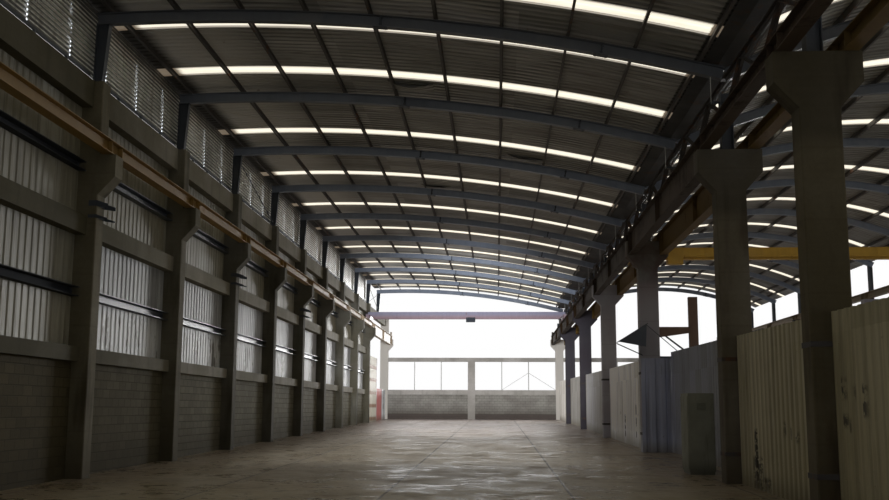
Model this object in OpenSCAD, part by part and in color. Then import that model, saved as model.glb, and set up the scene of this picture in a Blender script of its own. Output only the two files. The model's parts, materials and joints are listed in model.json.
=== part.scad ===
// Two-nave industrial hall with curved roofs, crane runways and two overhead travelling cranes.
// Lengths are those of the full-size building; everything is drawn at model_scale.
// X runs across the naves, Y runs along them, and Z is height above the floor at the near end.
// The floor rises towards the far end, while the walls' beams, the runways and the roofs stay level.

/* [Model] */
// Scale of the finished model
model_scale = 0.5; // [0.1:0.1:0.5]

/* [Plan] */
// Distance between frames along the hall
bay = 6000; // [4800:100:7200]
// Clear width of each nave between column faces
nave_w = 13160; // [10960:10:15800]
// Column size across the hall
col_x = 630; // [520:10:760]
// Column size along the hall
col_y = 440; // [360:10:530]
// Thickness of the floor slab at the near end
floor_t = 200; // [160:10:260]
// Floor margin outside the last columns
floor_edge = 100; // [60:10:160]
// Rise of the floor for each metre along the hall
floor_rise = 11; // [0:1:14]

/* [Columns and corbels] */
// Seat height of the crane runway
seat_z = 7010; // [6400:10:7300]
// Reach of an outer column's corbel
corbel_out = 360; // [330:10:440]
// Reach of a middle column's head on each side
head_out = 360; // [330:10:440]
// Depth of a corbel's end face
corbel_end = 485; // [400:5:580]
// Depth of a corbel where it leaves the column
corbel_root = 880; // [740:10:1000]
// Height of the wall columns
wall_col_z = 8660; // [8500:10:8900]
// Width of the chamfer on the columns' edges
col_chamfer = 20; // [0:5:30]

/* [Long walls] */
// Height of the block wall between columns
block_z = 2550; // [2120:10:3000]
// Thickness of the block wall
block_t = 240; // [200:10:280]
// Setback of the block wall behind the column faces
block_setback = 360; // [300:10:380]
// Depth of the ring beams across the wall
beam_x = 250; // [210:10:300]
// Setback of the ring beams behind the column faces
beam_setback = 200; // [170:10:240]
// Height of the beam on the block wall
dado_beam_h = 305; // [260:5:360]
// Underside of the middle ring beam
mid_beam_z = 5250; // [4900:10:5600]
// Height of the middle ring beam
mid_beam_h = 405; // [340:5:480]
// Height of the top ring beam
top_beam_h = 595; // [500:5:700]
// Height of a steel wall rail
girt_h = 205; // [170:5:240]
// Depth of a steel wall rail
girt_x = 180; // [150:10:220]
// Height of the lower wall rail
low_girt_z = 3920; // [3600:10:4300]
// Height of the upper wall rail
high_girt_z = 6645; // [6200:10:7300]
// Overall depth of the wall sheets
sheet_depth = 40; // [30:2:48]
// Metal thickness of the wall sheets
sheet_t = 8; // [6:1:10]
// Distance between the ribs of the wall sheets
sheet_pitch = 280; // [230:10:340]

/* [Louvre band] */
// Gap between the top beams and the louvre band
louvre_gap = 120; // [60:10:160]
// Height of the louvre band
louvre_h = 1350; // [1120:10:1600]
// Distance between the louvre ribs
louvre_pitch = 100; // [80:5:125]
// Setback of the louvre sheets behind the column faces
louvre_setback = 335; // [330:5:380]
// Width of the louvre band's little posts and rail
louvre_post = 50; // [40:2:60]

/* [Roof] */
// Radius under the rafters of the first nave
roof1_r = 45900; // [38000:100:55000]
// Distance from the left column faces to the crown of that roof
roof1_crown = 1840; // [1500:10:2200]
// Height of the rafter soffits over the middle row
valley_z = 8590; // [8450:10:8800]
// Rise of the second nave's rafters
roof2_rise = 1580; // [1310:10:1900]
// Depth of a rafter
rafter_h = 260; // [220:5:310]
// Flange width of a rafter
rafter_w = 180; // [150:10:220]
// Thickness of steel flanges
flange_t = 16; // [14:1:20]
// Thickness of steel webs
web_t = 12; // [10:1:16]
// Depth of a purlin
purlin_h = 140; // [115:5:170]
// Width of a purlin flange
purlin_w = 60; // [50:2:72]
// Distance between purlins along the roof
purlin_pitch = 1435; // [1200:5:1720]
// Place of the first purlin, from the left column faces
first_purlin = 50; // [40:5:200]
// Thickness of the roof sheets
roof_t = 30; // [24:2:40]
// Distance from the middle row's centre line to the ends of the roof sheets
valley_gap = 435; // [400:5:480]
// Start of the first skylight strip behind each frame
strip_1 = 740; // [620:10:890]
// Start of the second skylight strip behind each frame
strip_2 = 4130; // [3900:10:4150]
// Width of a skylight strip
strip_w = 620; // [520:10:640]

/* [Middle row] */
// Width and depth of a steel stub on a column head
stub_w = 250; // [210:10:300]
// Underside of the lattice girder
lattice_z = 7710; // [7650:10:7800]
// Height of the lattice girder's lower chord
chord_h = 140; // [115:5:170]
// Width of the lattice girder's lower chord
chord_w = 200; // [170:10:240]
// Width of the lattice girder's diagonals
lattice_bar = 70; // [58:2:84]
// Depth of the valley beam under the rafters
valley_beam_h = 300; // [250:10:340]

/* [Crane runways] */
// Depth of a runway girder at its seats
runway_h = 290; // [250:10:340]
// Depth of the long girders between the middle columns
long_runway_h = 740; // [620:10:880]
// Flange width of a runway girder
runway_w = 250; // [210:10:280]
// Distance from the column faces to the rail
rail_in = 190; // [170:5:210]
// Rail height
rail_h = 50; // [40:5:60]
// Rail width
rail_w = 60; // [50:2:70]
// Height of an end stop over the rail
stop_h = 260; // [220:10:310]

/* [Cranes] */
// Depth of a crane bridge beam
bridge_h = 460; // [390:10:550]
// Width of a crane bridge beam
bridge_w = 300; // [250:10:360]
// Height of the bridge beams over the rails
bridge_over = 80; // [66:2:96]
// Wheel diameter
wheel_d = 250; // [210:5:300]
// Distance between the wheels of an end carriage
wheel_base = 2000; // [1700:50:2400]
// Place of the first crane along the hall
crane1_y = 22000; // [12000:500:26000]
// Place of the second crane along the hall
crane2_y = -5000; // [-12000:500:6000]
// Place of the first crane's hoist, from the left column faces
hoist1_x = 6870; // [4000:10:9000]
// Place of the second crane's hoist, from the middle column faces
hoist2_x = 1800; // [1700:10:3000]
// Length of a hoist along its bridge
hoist_w = 600; // [500:10:720]
// Depth of a hoist under its bridge
hoist_h = 170; // [150:5:200]
// Running gap between a wheel and its rail
wheel_gap = 0.6; // [0.5:0.1:1]

/* [Hoarding] */
// Height of the hoarding along the middle row
hoarding_h = 2957; // [2460:1:3100]
// Height of the hoarding that is set back
recess_h = 3150; // [2620:10:3300]
// Distance that it is set back into the second nave
recess_x = 665; // [550:5:800]
// Depth of the hoarding sheets
hoarding_t = 40; // [32:2:48]
// Height of the lower hoarding rail
hoarding_low = 540; // [450:10:650]
// Height of the upper hoarding rail
hoarding_high = 2443; // [2040:1:2455]
// Size of a hoarding rail
hoarding_rail = 50; // [40:2:60]

/* [Far end] */
// Height of the far masonry wall
far_block_h = 1916; // [1600:2:2300]
// Thickness of the far masonry wall
far_t = 240; // [200:10:280]
// Height of the coping on the far wall
far_cope_h = 360; // [300:10:430]
// Reach of the coping beyond the wall's faces
far_cope_out = 50; // [40:5:60]
// Drop of the far upper beam's underside below the crane seats
far_beam_drop = 1735; // [1450:5:2100]
// Height of the far upper beam
far_beam_h = 305; // [250:5:370]
// Width of the centre post in the far wall
far_post_x = 560; // [470:10:670]
// Height of the pale sheets in the last walled bay
end_sheet_z = 5230; // [4400:10:5240]
// Height of the low sheets in the last bay
end_panel_h = 2330; // [1940:10:2800]

/* [Hidden] */

// Frames are counted from the near end.
bays = 12;
roof_bays = 11;
wall_bays = 10;
wall_frames = [0, 1, 2, 3, 4, 5, 6, 7, 8, 9, 10, 12];
side_frames = [for (i = [0:bays]) i];
head_frames = [0, 1, 2, 4, 6, 8, 10, 12];
clamp_frames = [2, 4, 6];
recess_frames = [2, 4];
braced_frame = 4;

arc_fn = 256;
round_fn = 32;
wheel_fn = 48;
seat_gap = 1;

left_x = -col_x / 2 - nave_w;
middle_left_x = -col_x / 2;
middle_right_x = col_x / 2;
right_x = -left_x;
hall_l = bays * bay;
roof_l = roof_bays * bay;
floor_x = right_x + col_x + floor_edge;
floor_y = (hall_l + col_y) / 2 + floor_edge;
beam_back = beam_setback + beam_x;
beam_top = wall_col_z;
louvre_z = beam_top + louvre_gap;
rail_z = seat_z + runway_h + rail_h;
far_beam_z = seat_z - far_beam_drop;
far_y = hall_l / 2;

function frame_y(i) = (i - bays / 2) * bay;
function floor_z(y) = (y + hall_l / 2) * floor_rise / 1000;

// Everything is drawn full size on the finished floor, then brought to the model's size.
module at_scale() {
    scale(model_scale) translate([0, 0, floor_t]) children();
}

// A box between two corners.
module span(low, high) {
    translate(low) cube(high - low);
}

// An outline in X and Z, swept along Y between two places.
module along_y(y0, y1) {
    translate([0, y1, 0]) rotate([90, 0, 0]) linear_extrude(y1 - y0) children();
}

// An outline in Y and Z, swept along X between two places.
module along_x(x0, x1) {
    translate([x0, 0, 0]) rotate([90, 0, 90]) linear_extrude(x1 - x0) children();
}

// A piece of constant height that follows the floor's slope along the hall.
module sloping(x, y, z) {
    along_x(x[0], x[1]) polygon([
        [y[0], floor_z(y[0]) + z[0]], [y[1], floor_z(y[1]) + z[0]],
        [y[1], floor_z(y[1]) + z[1]], [y[0], floor_z(y[0]) + z[1]]
    ]);
}

// A wall or post from the sloping floor up to a level top.
module standing(x, y, top) {
    along_x(x[0], x[1]) polygon([[y[0], floor_z(y[0])], [y[1], floor_z(y[1])], [y[1], top], [y[0], top]]);
}

// Outline of the floor slab in Y and Z.
module floor_outline() {
    polygon([
        [-floor_y, -floor_t], [floor_y, -floor_t], [floor_y, floor_z(floor_y)], [-floor_y, floor_z(-floor_y)]
    ]);
}

// Cuts off what would reach below the floor's surface.
module on_floor() {
    difference() {
        children();
        along_x(-floor_x, floor_x) floor_outline();
    }
}

// Outline of a profiled sheet of constant thickness: trapezoid ribs along the first axis.
function rib_points(length, pitch, depth) = let (
    n = max(1, round(length / pitch)), p = length / n
) [for (i = [0:n - 1], q = [[0, 0], [0.35, 0], [0.5, 1], [0.85, 1]]) [(i + q[0]) * p, q[1] * depth]];

module ribbed_outline(length, pitch, depth, t) {
    line = concat(rib_points(length, pitch, depth - t), [[length, 0]]);
    polygon(concat(line, [for (i = [len(line) - 1:-1:0]) line[i] + [0, t]]));
}

// An I section centred on the first axis, standing on the second.
module i_section(w, h, tf, tw) {
    translate([-w / 2, 0]) square([w, tf]);
    translate([-w / 2, h - tf]) square([w, tf]);
    translate([-tw / 2, 0]) square([tw, h]);
}

// A channel section with its back on the second axis, opening along the first.
module channel_section(w, h, t) {
    difference() {
        square([w, h]);
        translate([t, t]) square([w, h - 2 * t]);
    }
}

module floor_slab() {
    color("darkgray") at_scale() along_x(-floor_x, floor_x) floor_outline();
}

// A column's shaft from under the floor's surface, its long edges chamfered.
module shaft(x0, x1, top) {
    c = col_chamfer;
    half = col_y / 2;
    translate([0, 0, -floor_t / 2]) linear_extrude(top + floor_t / 2) polygon([
        [x0 + c, -half], [x1 - c, -half], [x1, c - half], [x1, half - c],
        [x1 - c, half], [x0 + c, half], [x0, half - c], [x0, c - half]
    ]);
}

// A corbel on the face at X = 0, which runs a given depth into the shaft.
module corbel(reach, depth) {
    along_y(-col_y / 2, col_y / 2) polygon([
        [-depth, seat_z - corbel_root], [0, seat_z - corbel_root], [reach, seat_z - corbel_end],
        [reach, seat_z], [-depth, seat_z]
    ]);
}

// A wall column with one corbel towards positive X, its inner face at X = 0.
module wall_column(top) {
    shaft(-col_x, 0, top);
    corbel(corbel_out, col_x / 2);
}

// A middle column with a corbel on both sides of its head.
module headed_column() {
    shaft(-col_x / 2, col_x / 2, seat_z);
    for (side = [0, 1]) mirror([side, 0, 0]) translate([col_x / 2, 0, 0]) corbel(head_out, col_x / 2);
}

module left_columns() {
    color("gray") at_scale() on_floor() for (i = wall_frames)
        translate([left_x, frame_y(i), 0]) wall_column(wall_col_z);
}

module middle_columns() {
    color("gray") at_scale() on_floor() for (i = head_frames) translate([0, frame_y(i), 0]) headed_column();
}

module right_columns() {
    color("gray") at_scale() on_floor() for (i = side_frames)
        translate([right_x, frame_y(i), 0]) mirror([1, 0, 0]) wall_column(seat_z);
}

// Steel brackets under some wall columns' corbels, with arms that reach into the nave.
clamp_under = [510, 250];
clamp_h = [70, 120];
clamp_t = 12;
clamp_reach = 245;
clamp_drop = [40, 80];
clamp_grip = beam_setback - 20;

module column_clamps() {
    side = col_y / 2;
    out = side + clamp_t;
    foot = seat_z - corbel_root;
    color("darkslategray") at_scale() for (i = clamp_frames, k = [0, 1])
        translate([left_x, frame_y(i), foot - clamp_under[k]]) {
            span([0, -out, 0], [clamp_t, out, clamp_h[k]]);
            for (y = [-out, side]) along_y(y, y + clamp_t) polygon([
                [-clamp_grip, 0], [0, 0], [clamp_reach, -clamp_drop[0]],
                [clamp_reach, clamp_h[k] - clamp_drop[1]], [0, clamp_h[k]], [-clamp_grip, clamp_h[k]]
            ]);
        }
}

// One piece per bay of the left wall, between two columns.
module left_wall_bays() {
    for (i = [0:wall_bays - 1]) translate([left_x, 0, 0]) {
        $bay_y = [frame_y(i) + col_y / 2, frame_y(i + 1) - col_y / 2];
        children();
    }
}

module wall_beam(z, h) {
    span([-beam_back, $bay_y[0], z], [-beam_setback, $bay_y[1], z + h]);
}

module left_block_wall() {
    color("dimgray") at_scale() left_wall_bays()
        standing([-block_setback - block_t, -block_setback], $bay_y, block_z);
}

module left_dado_beams() {
    color("gray") at_scale() left_wall_bays() wall_beam(block_z, dado_beam_h);
}

module left_middle_beams() {
    color("gray") at_scale() left_wall_bays() wall_beam(mid_beam_z, mid_beam_h);
}

// The last beam spans two bays and carries the last steel stub.
module left_top_beams() {
    color("gray") at_scale() {
        left_wall_bays() wall_beam(beam_top - top_beam_h, top_beam_h);
        translate([left_x, 0, beam_top - top_beam_h]) span(
            [-beam_back, frame_y(wall_bays) + col_y / 2, 0],
            [-beam_setback, frame_y(bays) - col_y / 2, top_beam_h]);
    }
}

module wall_rails() {
    color("darkslategray") at_scale() left_wall_bays() for (z = [low_girt_z, high_girt_z])
        along_y($bay_y[0], $bay_y[1]) translate([-beam_back, z]) channel_section(girt_x, girt_h, flange_t);
}

// Upright sheets from x outwards, with ribs along the hall.
module ribbed_wall(x, y, z, pitch, depth) {
    translate([x, y[0], z[0]]) rotate([0, 0, 90]) linear_extrude(z[1] - z[0])
        ribbed_outline(y[1] - y[0], pitch, depth, sheet_t);
}

// Two rows of sheets, which meet behind the middle beams.
module wall_sheets() {
    lap_z = mid_beam_z + mid_beam_h / 2;
    color("lightgray") at_scale() left_wall_bays()
        for (z = [[block_z, lap_z - seat_gap], [lap_z, beam_top]])
            ribbed_wall(-beam_back, $bay_y, z, sheet_pitch, sheet_depth);
}

// Sheets with level ribs behind the stub columns, one piece per bay.
module louvre_band() {
    color("silver") at_scale() for (i = [0:wall_bays - 1])
        translate([left_x - louvre_setback, frame_y(i) + seat_gap, louvre_z])
            rotate([90, 0, 0]) rotate([0, 0, 90]) mirror([0, 0, 1])
                linear_extrude(bay - 2 * seat_gap)
                    ribbed_outline(louvre_h, louvre_pitch, sheet_depth, sheet_t);
}

// Little posts on the top beams and the rail on them, which hold the louvre band.
module louvre_posts() {
    p = louvre_post;
    color("darkslategray") at_scale() for (i = [0:wall_bays - 1])
        translate([left_x - louvre_setback, frame_y(i), beam_top]) {
            for (part = [1, 2, 3]) translate([0, part * bay / 4 - p / 2, 0]) cube([p, p, louvre_gap + p]);
            span([0, col_y / 2 + p, louvre_gap], [p, bay - col_y / 2 - p, louvre_gap + p]);
        }
}

// Where a sweep of height h stops at its soffit so that its square-cut top stops at x.
function trimmed(x, r, h) = x * r / (r + h);

// Both roofs' rafters come down on one beam over the middle row, with their soffits at valley_z there.
row_l = nave_w + col_x / 2;
roof1_end = trimmed(row_l - seat_gap - roof1_crown, roof1_r, rafter_h);
roof1_zc = valley_z - sqrt(roof1_r * roof1_r - roof1_end * roof1_end);

function arc_radius(half) = (half * half + roof2_rise * roof2_rise) / (2 * roof2_rise);
function seated_half(top_half, half, tries) = tries == 0 ? half
    : seated_half(top_half, trimmed(top_half, arc_radius(half), rafter_h), tries - 1);

seat_tries = 6;
roof2_x = (middle_right_x + right_x) / 2;
roof2_top_half = (nave_w + col_x) / 2 - seat_gap;
roof2_half = seated_half(roof2_top_half, roof2_top_half, seat_tries);
roof2_r = arc_radius(roof2_half);
roof2_zc = valley_z + roof2_rise - roof2_r;

// Height of an arc of radius r about a centre at zc, at a distance x from its crown.
function arc_z(x, r, zc) = zc + sqrt(r * r - x * x);
function soffit1_z(x) = arc_z(x - roof1_crown, roof1_r, roof1_zc);

// An outline of radius and Y, swept round a roof's arc in two halves, with a narrow joint at the crown.
module roof_sweep(zc, r, x0, x1) {
    joint = seat_gap / 4;
    for (half = [[x0, -joint], [joint, x1]]) {
        a0 = acos(half[1] / r);
        a1 = acos(half[0] / r);
        translate([0, 0, zc]) rotate([90, 0, 0]) rotate([0, 0, a0])
            rotate_extrude(angle = a1 - a0, $fn = arc_fn) children();
    }
}

// Sweeps over the first nave between two distances from the left column faces.
module first_roof(x0, x1) {
    translate([left_x + roof1_crown, 0, 0])
        roof_sweep(roof1_zc, roof1_r, x0 - roof1_crown, x1 - roof1_crown) children();
}

// Sweeps over the second nave between two distances from its crown.
module second_roof(x0, x1) {
    translate([roof2_x, 0, 0]) roof_sweep(roof2_zc, roof2_r, x0, x1) children();
}

module rafter_outline(r) {
    translate([r, 0]) rotate([0, 0, -90]) i_section(rafter_w, rafter_h, flange_t, web_t);
}

module first_nave_rafters() {
    color("darkslategray") at_scale() for (i = [0:roof_bays]) translate([0, frame_y(i), 0])
        first_roof(-stub_top_w, roof1_end + roof1_crown) rafter_outline(roof1_r);
}

module second_nave_rafters() {
    color("darkslategray") at_scale() for (i = [0:roof_bays]) translate([0, frame_y(i), 0])
        second_roof(-roof2_half, roof2_half) rafter_outline(roof2_r);
}

// A purlin on the rafters, at a distance x from the crown under them.
module purlin(x, r) {
    rotate([0, asin(x / r), 0]) along_y(-hall_l / 2, roof_l - hall_l / 2)
        translate([-purlin_w / 2, r + rafter_h + seat_gap / 2])
            channel_section(purlin_w, purlin_h - seat_gap, flange_t / 2);
}

// The purlins lie at a regular distance, and one more lies just inside the ends of the sheets.
function eaves_purlin(end, r) = trimmed(end - valley_gap - purlin_w, r, rafter_h + purlin_h);
eaves1 = eaves_purlin(row_l - roof1_crown, roof1_r);
eaves2 = eaves_purlin(roof2_top_half, roof2_r);
eaves_room = 0.3 * purlin_pitch;
purlin2_n = floor((eaves2 - eaves_room) / purlin_pitch);

module first_nave_purlins() {
    regular = [for (x = [first_purlin - roof1_crown:purlin_pitch:eaves1 - eaves_room]) x];
    color("dimgray") at_scale() translate([left_x + roof1_crown, 0, roof1_zc])
        for (x = concat(regular, [eaves1])) purlin(x, roof1_r);
}

module second_nave_purlins() {
    regular = [for (i = [-purlin2_n:purlin2_n]) i * purlin_pitch];
    color("dimgray") at_scale() translate([roof2_x, 0, roof2_zc])
        for (x = concat([-eaves2], regular, [eaves2])) purlin(x, roof2_r);
}

// Roof sheets lie between the skylight strips of neighbouring bays.
strips = [for (i = [0:roof_bays - 1], s = [strip_1, strip_2]) frame_y(i) + s];
sheet_starts = concat([-hall_l / 2], [for (s = strips) s + strip_w]);
sheet_ends = concat(strips, [roof_l - hall_l / 2]);

module roof_band_outline(r, y0, y1) {
    translate([r + rafter_h + purlin_h, -y1 + seat_gap / 2]) square([roof_t, y1 - y0 - seat_gap]);
}

cover_h = rafter_h + purlin_h + roof_t;
cover1_start = -beam_back;
cover1_end = trimmed(row_l - valley_gap - roof1_crown, roof1_r, cover_h) + roof1_crown;
cover2_start = -trimmed(roof2_top_half - valley_gap, roof2_r, cover_h);

module first_nave_roof_sheets() {
    color("gray") at_scale() for (i = [0:len(sheet_starts) - 1])
        first_roof(cover1_start, cover1_end) roof_band_outline(roof1_r, sheet_starts[i], sheet_ends[i]);
}

module first_nave_skylights() {
    color("white") at_scale() for (s = strips)
        first_roof(cover1_start, cover1_end) roof_band_outline(roof1_r, s, s + strip_w);
}

module second_nave_roof_sheets() {
    color("gray") at_scale() for (i = [0:len(sheet_starts) - 1])
        second_roof(cover2_start, roof2_half) roof_band_outline(roof2_r, sheet_starts[i], sheet_ends[i]);
}

module second_nave_skylights() {
    color("white") at_scale() for (s = strips)
        second_roof(cover2_start, roof2_half) roof_band_outline(roof2_r, s, s + strip_w);
}

// A steel stub that widens towards its top: a web between two flanges, on a base plate.
stub_front = 100;
stub_base_w = 200;
stub_top_w = 290;
plate_out = 30;

// One plate of the stub, between two places at its foot and two under the rafter.
module stub_plate(foot_z, foot, top, w, soffit) {
    along_y(-w / 2, w / 2) polygon([
        [foot[0], foot_z], [foot[1], foot_z],
        [top[1], soffit(top[1]) - seat_gap], [top[0], soffit(top[0]) - seat_gap]
    ]);
}

module tapered_stub(foot_z, foot, top, soffit) {
    t = flange_t;
    half = rafter_w / 2;
    stub_plate(foot_z, foot, top, web_t, soffit);
    stub_plate(foot_z, [foot[0], foot[0] + t], [top[0], top[0] + t], rafter_w, soffit);
    stub_plate(foot_z, [foot[1] - t, foot[1]], [top[1] - t, top[1]], rafter_w, soffit);
    span([foot[0] - plate_out / 2, -half - plate_out, foot_z], [foot[1], half + plate_out, foot_z + t]);
}

module left_stub_columns() {
    foot = [-stub_front - stub_base_w, -stub_front];
    color("darkslategray") at_scale() for (i = [0:roof_bays]) translate([left_x, frame_y(i), 0])
        tapered_stub(beam_top, foot, [-stub_top_w, 0], function(x) soffit1_z(x));
}

// The right row's stubs stand on its column heads, at their inner face.
module right_stub_columns() {
    edges = [-stub_base_w, 0];
    color("darkslategray") at_scale() for (i = [0:roof_bays])
        translate([right_x, frame_y(i), 0]) mirror([1, 0, 0])
            tapered_stub(seat_z, edges, edges, function(x) arc_z(right_x - x - roof2_x, roof2_r, roof2_zc));
}

// Lattice girder from column head to column head, under the roof valley.
valley_beam_w = 300;
lattice_top = valley_z - valley_beam_h - seat_gap;
panels_per_bay = 4;

module middle_lattice_girder() {
    color("darkslategray") at_scale() {
        translate([0, 0, lattice_top]) along_y(-hall_l / 2, hall_l / 2)
            i_section(valley_beam_w, valley_beam_h, flange_t, web_t);
        for (k = [0:len(head_frames) - 2]) {
            y0 = frame_y(head_frames[k]) + stub_w / 2;
            y1 = frame_y(head_frames[k + 1]) - stub_w / 2;
            n = panels_per_bay * (head_frames[k + 1] - head_frames[k]);
            panel = (y1 - y0) / n;
            span([-chord_w / 2, y0, lattice_z], [chord_w / 2, y1, lattice_z + chord_h]);
            for (j = [0:n - 1]) diagonal_bar(y0 + j * panel, panel, j % 2 == 0);
        }
    }
}

module diagonal_bar(y, length, rising) {
    z = rising ? [lattice_z + chord_h, lattice_top] : [lattice_top, lattice_z + chord_h];
    b = lattice_bar;
    along_x(-b / 2, b / 2) polygon([[y, z[0]], [y + b, z[0]], [y + length, z[1]], [y + length - b, z[1]]]);
}

module middle_stub_columns() {
    color("darkslategray") at_scale() for (i = head_frames) translate([0, frame_y(i), seat_z])
        rotate([0, 0, 90]) linear_extrude(lattice_top - seat_z)
            translate([0, -stub_w / 2]) i_section(stub_w, stub_w, flange_t, web_t);
}

// Round rods that brace the upper wall: one across a bay, and a cross in the open bay.
rod_d = 36;
brace_x = -160;

module rod(y0, z0, y1, z1, x) {
    length = norm([y1 - y0, z1 - z0]);
    translate([left_x + x, y0, z0]) rotate([-atan2(y1 - y0, z1 - z0), 0, 0])
        cylinder(d = rod_d, h = length, $fn = round_fn);
}

module bracing_rods() {
    low = beam_top + 2 * rod_d;
    high = soffit1_z(brace_x) - 2 * rod_d;
    reach = web_t / 2 + rod_d / 2 * sin(atan2(high - low, bay)) + seat_gap / 2;
    behind = brace_x - rod_d - seat_gap;
    color("darkslategray") at_scale() {
        for (i = [braced_frame, wall_bays])
            rod(frame_y(i) + reach, high, frame_y(i + 1) - reach, low, brace_x);
        rod(frame_y(wall_bays) + reach, low, frame_y(wall_bays + 1) - reach, high, behind);
    }
}

// Folded gutter between the two roofs, its wings on the ends of their rafters.
gutter_t = 10;
gutter_lap = 20;
gutter_wing = valley_gap + gutter_lap;
gutter_flat = 150;

module valley_gutter() {
    left_z = arc_z(row_l - gutter_wing - roof1_crown, roof1_r + rafter_h, roof1_zc);
    low_z = arc_z(roof2_top_half - gutter_flat, roof2_r + rafter_h, roof2_zc);
    right_z = arc_z(roof2_top_half - gutter_wing, roof2_r + rafter_h, roof2_zc);
    line = [[-gutter_wing, left_z], [-gutter_flat, low_z], [gutter_flat, low_z], [gutter_wing, right_z]];
    color("slategray") at_scale() along_y(-hall_l / 2, roof_l - hall_l / 2) translate([0, 2 * seat_gap])
        polygon(concat(line, [for (i = [len(line) - 1:-1:0]) line[i] + [0, gutter_t]]));
}

// Clear distance from a column head to the deep part of a long girder.
seat_margin = 20;
stop_l = 260;
stop_t = 30;
stop_w = 140;

// A runway girder with its rail; long spans hang deeper between the seats.
module runway_girder(x, y0, y1, depth, seat0, seat1) {
    top = seat_z + runway_h;
    low = top - depth;
    t = flange_t;
    half = runway_w / 2;
    translate([x, 0, 0]) {
        along_x(-web_t / 2, web_t / 2) polygon([
            [y0, seat_z], [y0 + seat0, seat_z], [y0 + seat0, low], [y1 - seat1, low],
            [y1 - seat1, seat_z], [y1, seat_z], [y1, top], [y0, top]
        ]);
        span([-half, y0, top - t], [half, y1, top]);
        span([-half, y0 + seat0, low], [half, y1 - seat1, low + t]);
        if (seat0 > 0) {
            span([-half, y0, seat_z], [half, y0 + seat0 + t, seat_z + t]);
            span([-half, y0 + seat0, low], [half, y0 + seat0 + t, seat_z + t]);
            span([-half, y1 - seat1 - t, seat_z], [half, y1, seat_z + t]);
            span([-half, y1 - seat1 - t, low], [half, y1 - seat1, seat_z + t]);
        }
        span([-rail_w / 2, y0, top], [rail_w / 2, y1, top + rail_h]);
    }
}

// A stop plate with a sloping stay behind it, at the end of a rail.
module end_stop(x) {
    top = rail_z + stop_h;
    translate([x, -far_y - col_y / 2, 0]) along_x(-stop_w / 2, stop_w / 2) polygon([
        [0, rail_z - rail_h], [stop_l, rail_z - rail_h], [stop_l, top], [stop_l - stop_t, top]
    ]);
}

module runway(x, frames) {
    for (k = [0:len(frames) - 2]) {
        first = k == 0 ? -col_y / 2 : seat_gap / 2;
        last = k == len(frames) - 2 ? col_y / 2 : -seat_gap / 2;
        long = frames[k + 1] - frames[k] > 1;
        runway_girder(x, frame_y(frames[k]) + first, frame_y(frames[k + 1]) + last,
            long ? long_runway_h : runway_h,
            long ? col_y / 2 + seat_margin - first : 0, long ? col_y / 2 + seat_margin + last : 0);
    }
    for (end = [0, 1]) mirror([0, end, 0]) end_stop(x);
}

left_rail_x = left_x + rail_in;
middle_left_rail_x = middle_left_x - rail_in;
middle_right_rail_x = middle_right_x + rail_in;
right_rail_x = right_x - rail_in;

module left_crane_runway() {
    color("peru") at_scale() runway(left_rail_x, wall_frames);
}

module middle_left_crane_runway() {
    color("sienna") at_scale() runway(middle_left_rail_x, head_frames);
}

module middle_right_crane_runway() {
    color("goldenrod") at_scale() runway(middle_right_rail_x, head_frames);
}

module right_crane_runway() {
    color("goldenrod") at_scale() runway(right_rail_x, side_frames);
}

// End carriages run on the rails, and the bridge beams rest on them.
carriage_w = 180;
carriage_h = 260;
carriage_over = 120;
axle_z = rail_z + wheel_gap + wheel_d / 2;
carriage_z = axle_z - carriage_h / 3;
bridge_z = rail_z + bridge_over;
bridge_top = bridge_z + bridge_h;
bridge_clear = 20;
bridge_taper = 400;
wheel_w = 1.2 * rail_w;
groove_h = 80;
groove_depth = 60;

// A bridge beam, notched over its end carriages, with a groove on both sides for the hoist's wheels.
module crane_beam(x0, x1, y) {
    a = x0 - carriage_w / 2;
    b = x1 + carriage_w / 2;
    notch = carriage_w + bridge_clear;
    seat = carriage_z + carriage_h;
    translate([0, y, 0]) difference() {
        along_y(-bridge_w / 2, bridge_w / 2) polygon([
            [a, seat], [a + notch, seat], [a + bridge_taper, bridge_z], [b - bridge_taper, bridge_z],
            [b - notch, seat], [b, seat], [b, bridge_top], [a, bridge_top]
        ]);
        for (side = [-1, 1]) translate([0, side * bridge_w / 2, bridge_z + flange_t])
            span([a, -groove_depth, 0], [b, groove_depth, groove_h]);
    }
}

module end_carriage(x, y) {
    half = wheel_base / 2;
    over = wheel_d / 2 + carriage_over;
    translate([x, y, 0]) {
        span([-carriage_w / 2, -half - over, carriage_z],
            [carriage_w / 2, half + over, carriage_z + carriage_h]);
        for (side = [-1, 1]) translate([0, side * half, axle_z]) rotate([0, 90, 0])
            cylinder(d = wheel_d, h = wheel_w, center = true, $fn = wheel_fn);
    }
}

module first_crane_beam() {
    color("rosybrown") at_scale() crane_beam(left_rail_x, middle_left_rail_x, crane1_y);
}

module first_crane_end_carriages() {
    color("rosybrown") at_scale() for (x = [left_rail_x, middle_left_rail_x]) end_carriage(x, crane1_y);
}

module second_crane_beam() {
    color("gold") at_scale() crane_beam(middle_right_rail_x, right_rail_x, crane2_y);
}

module second_crane_end_carriages() {
    color("gold") at_scale() for (x = [middle_right_rail_x, right_rail_x]) end_carriage(x, crane2_y);
}

// A hoist that hangs under a bridge beam and runs along it.
hoist_wheel_d = 60;
hoist_gap = 20;
hoist_plate = 24;
hoist_side_h = 100;

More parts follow.
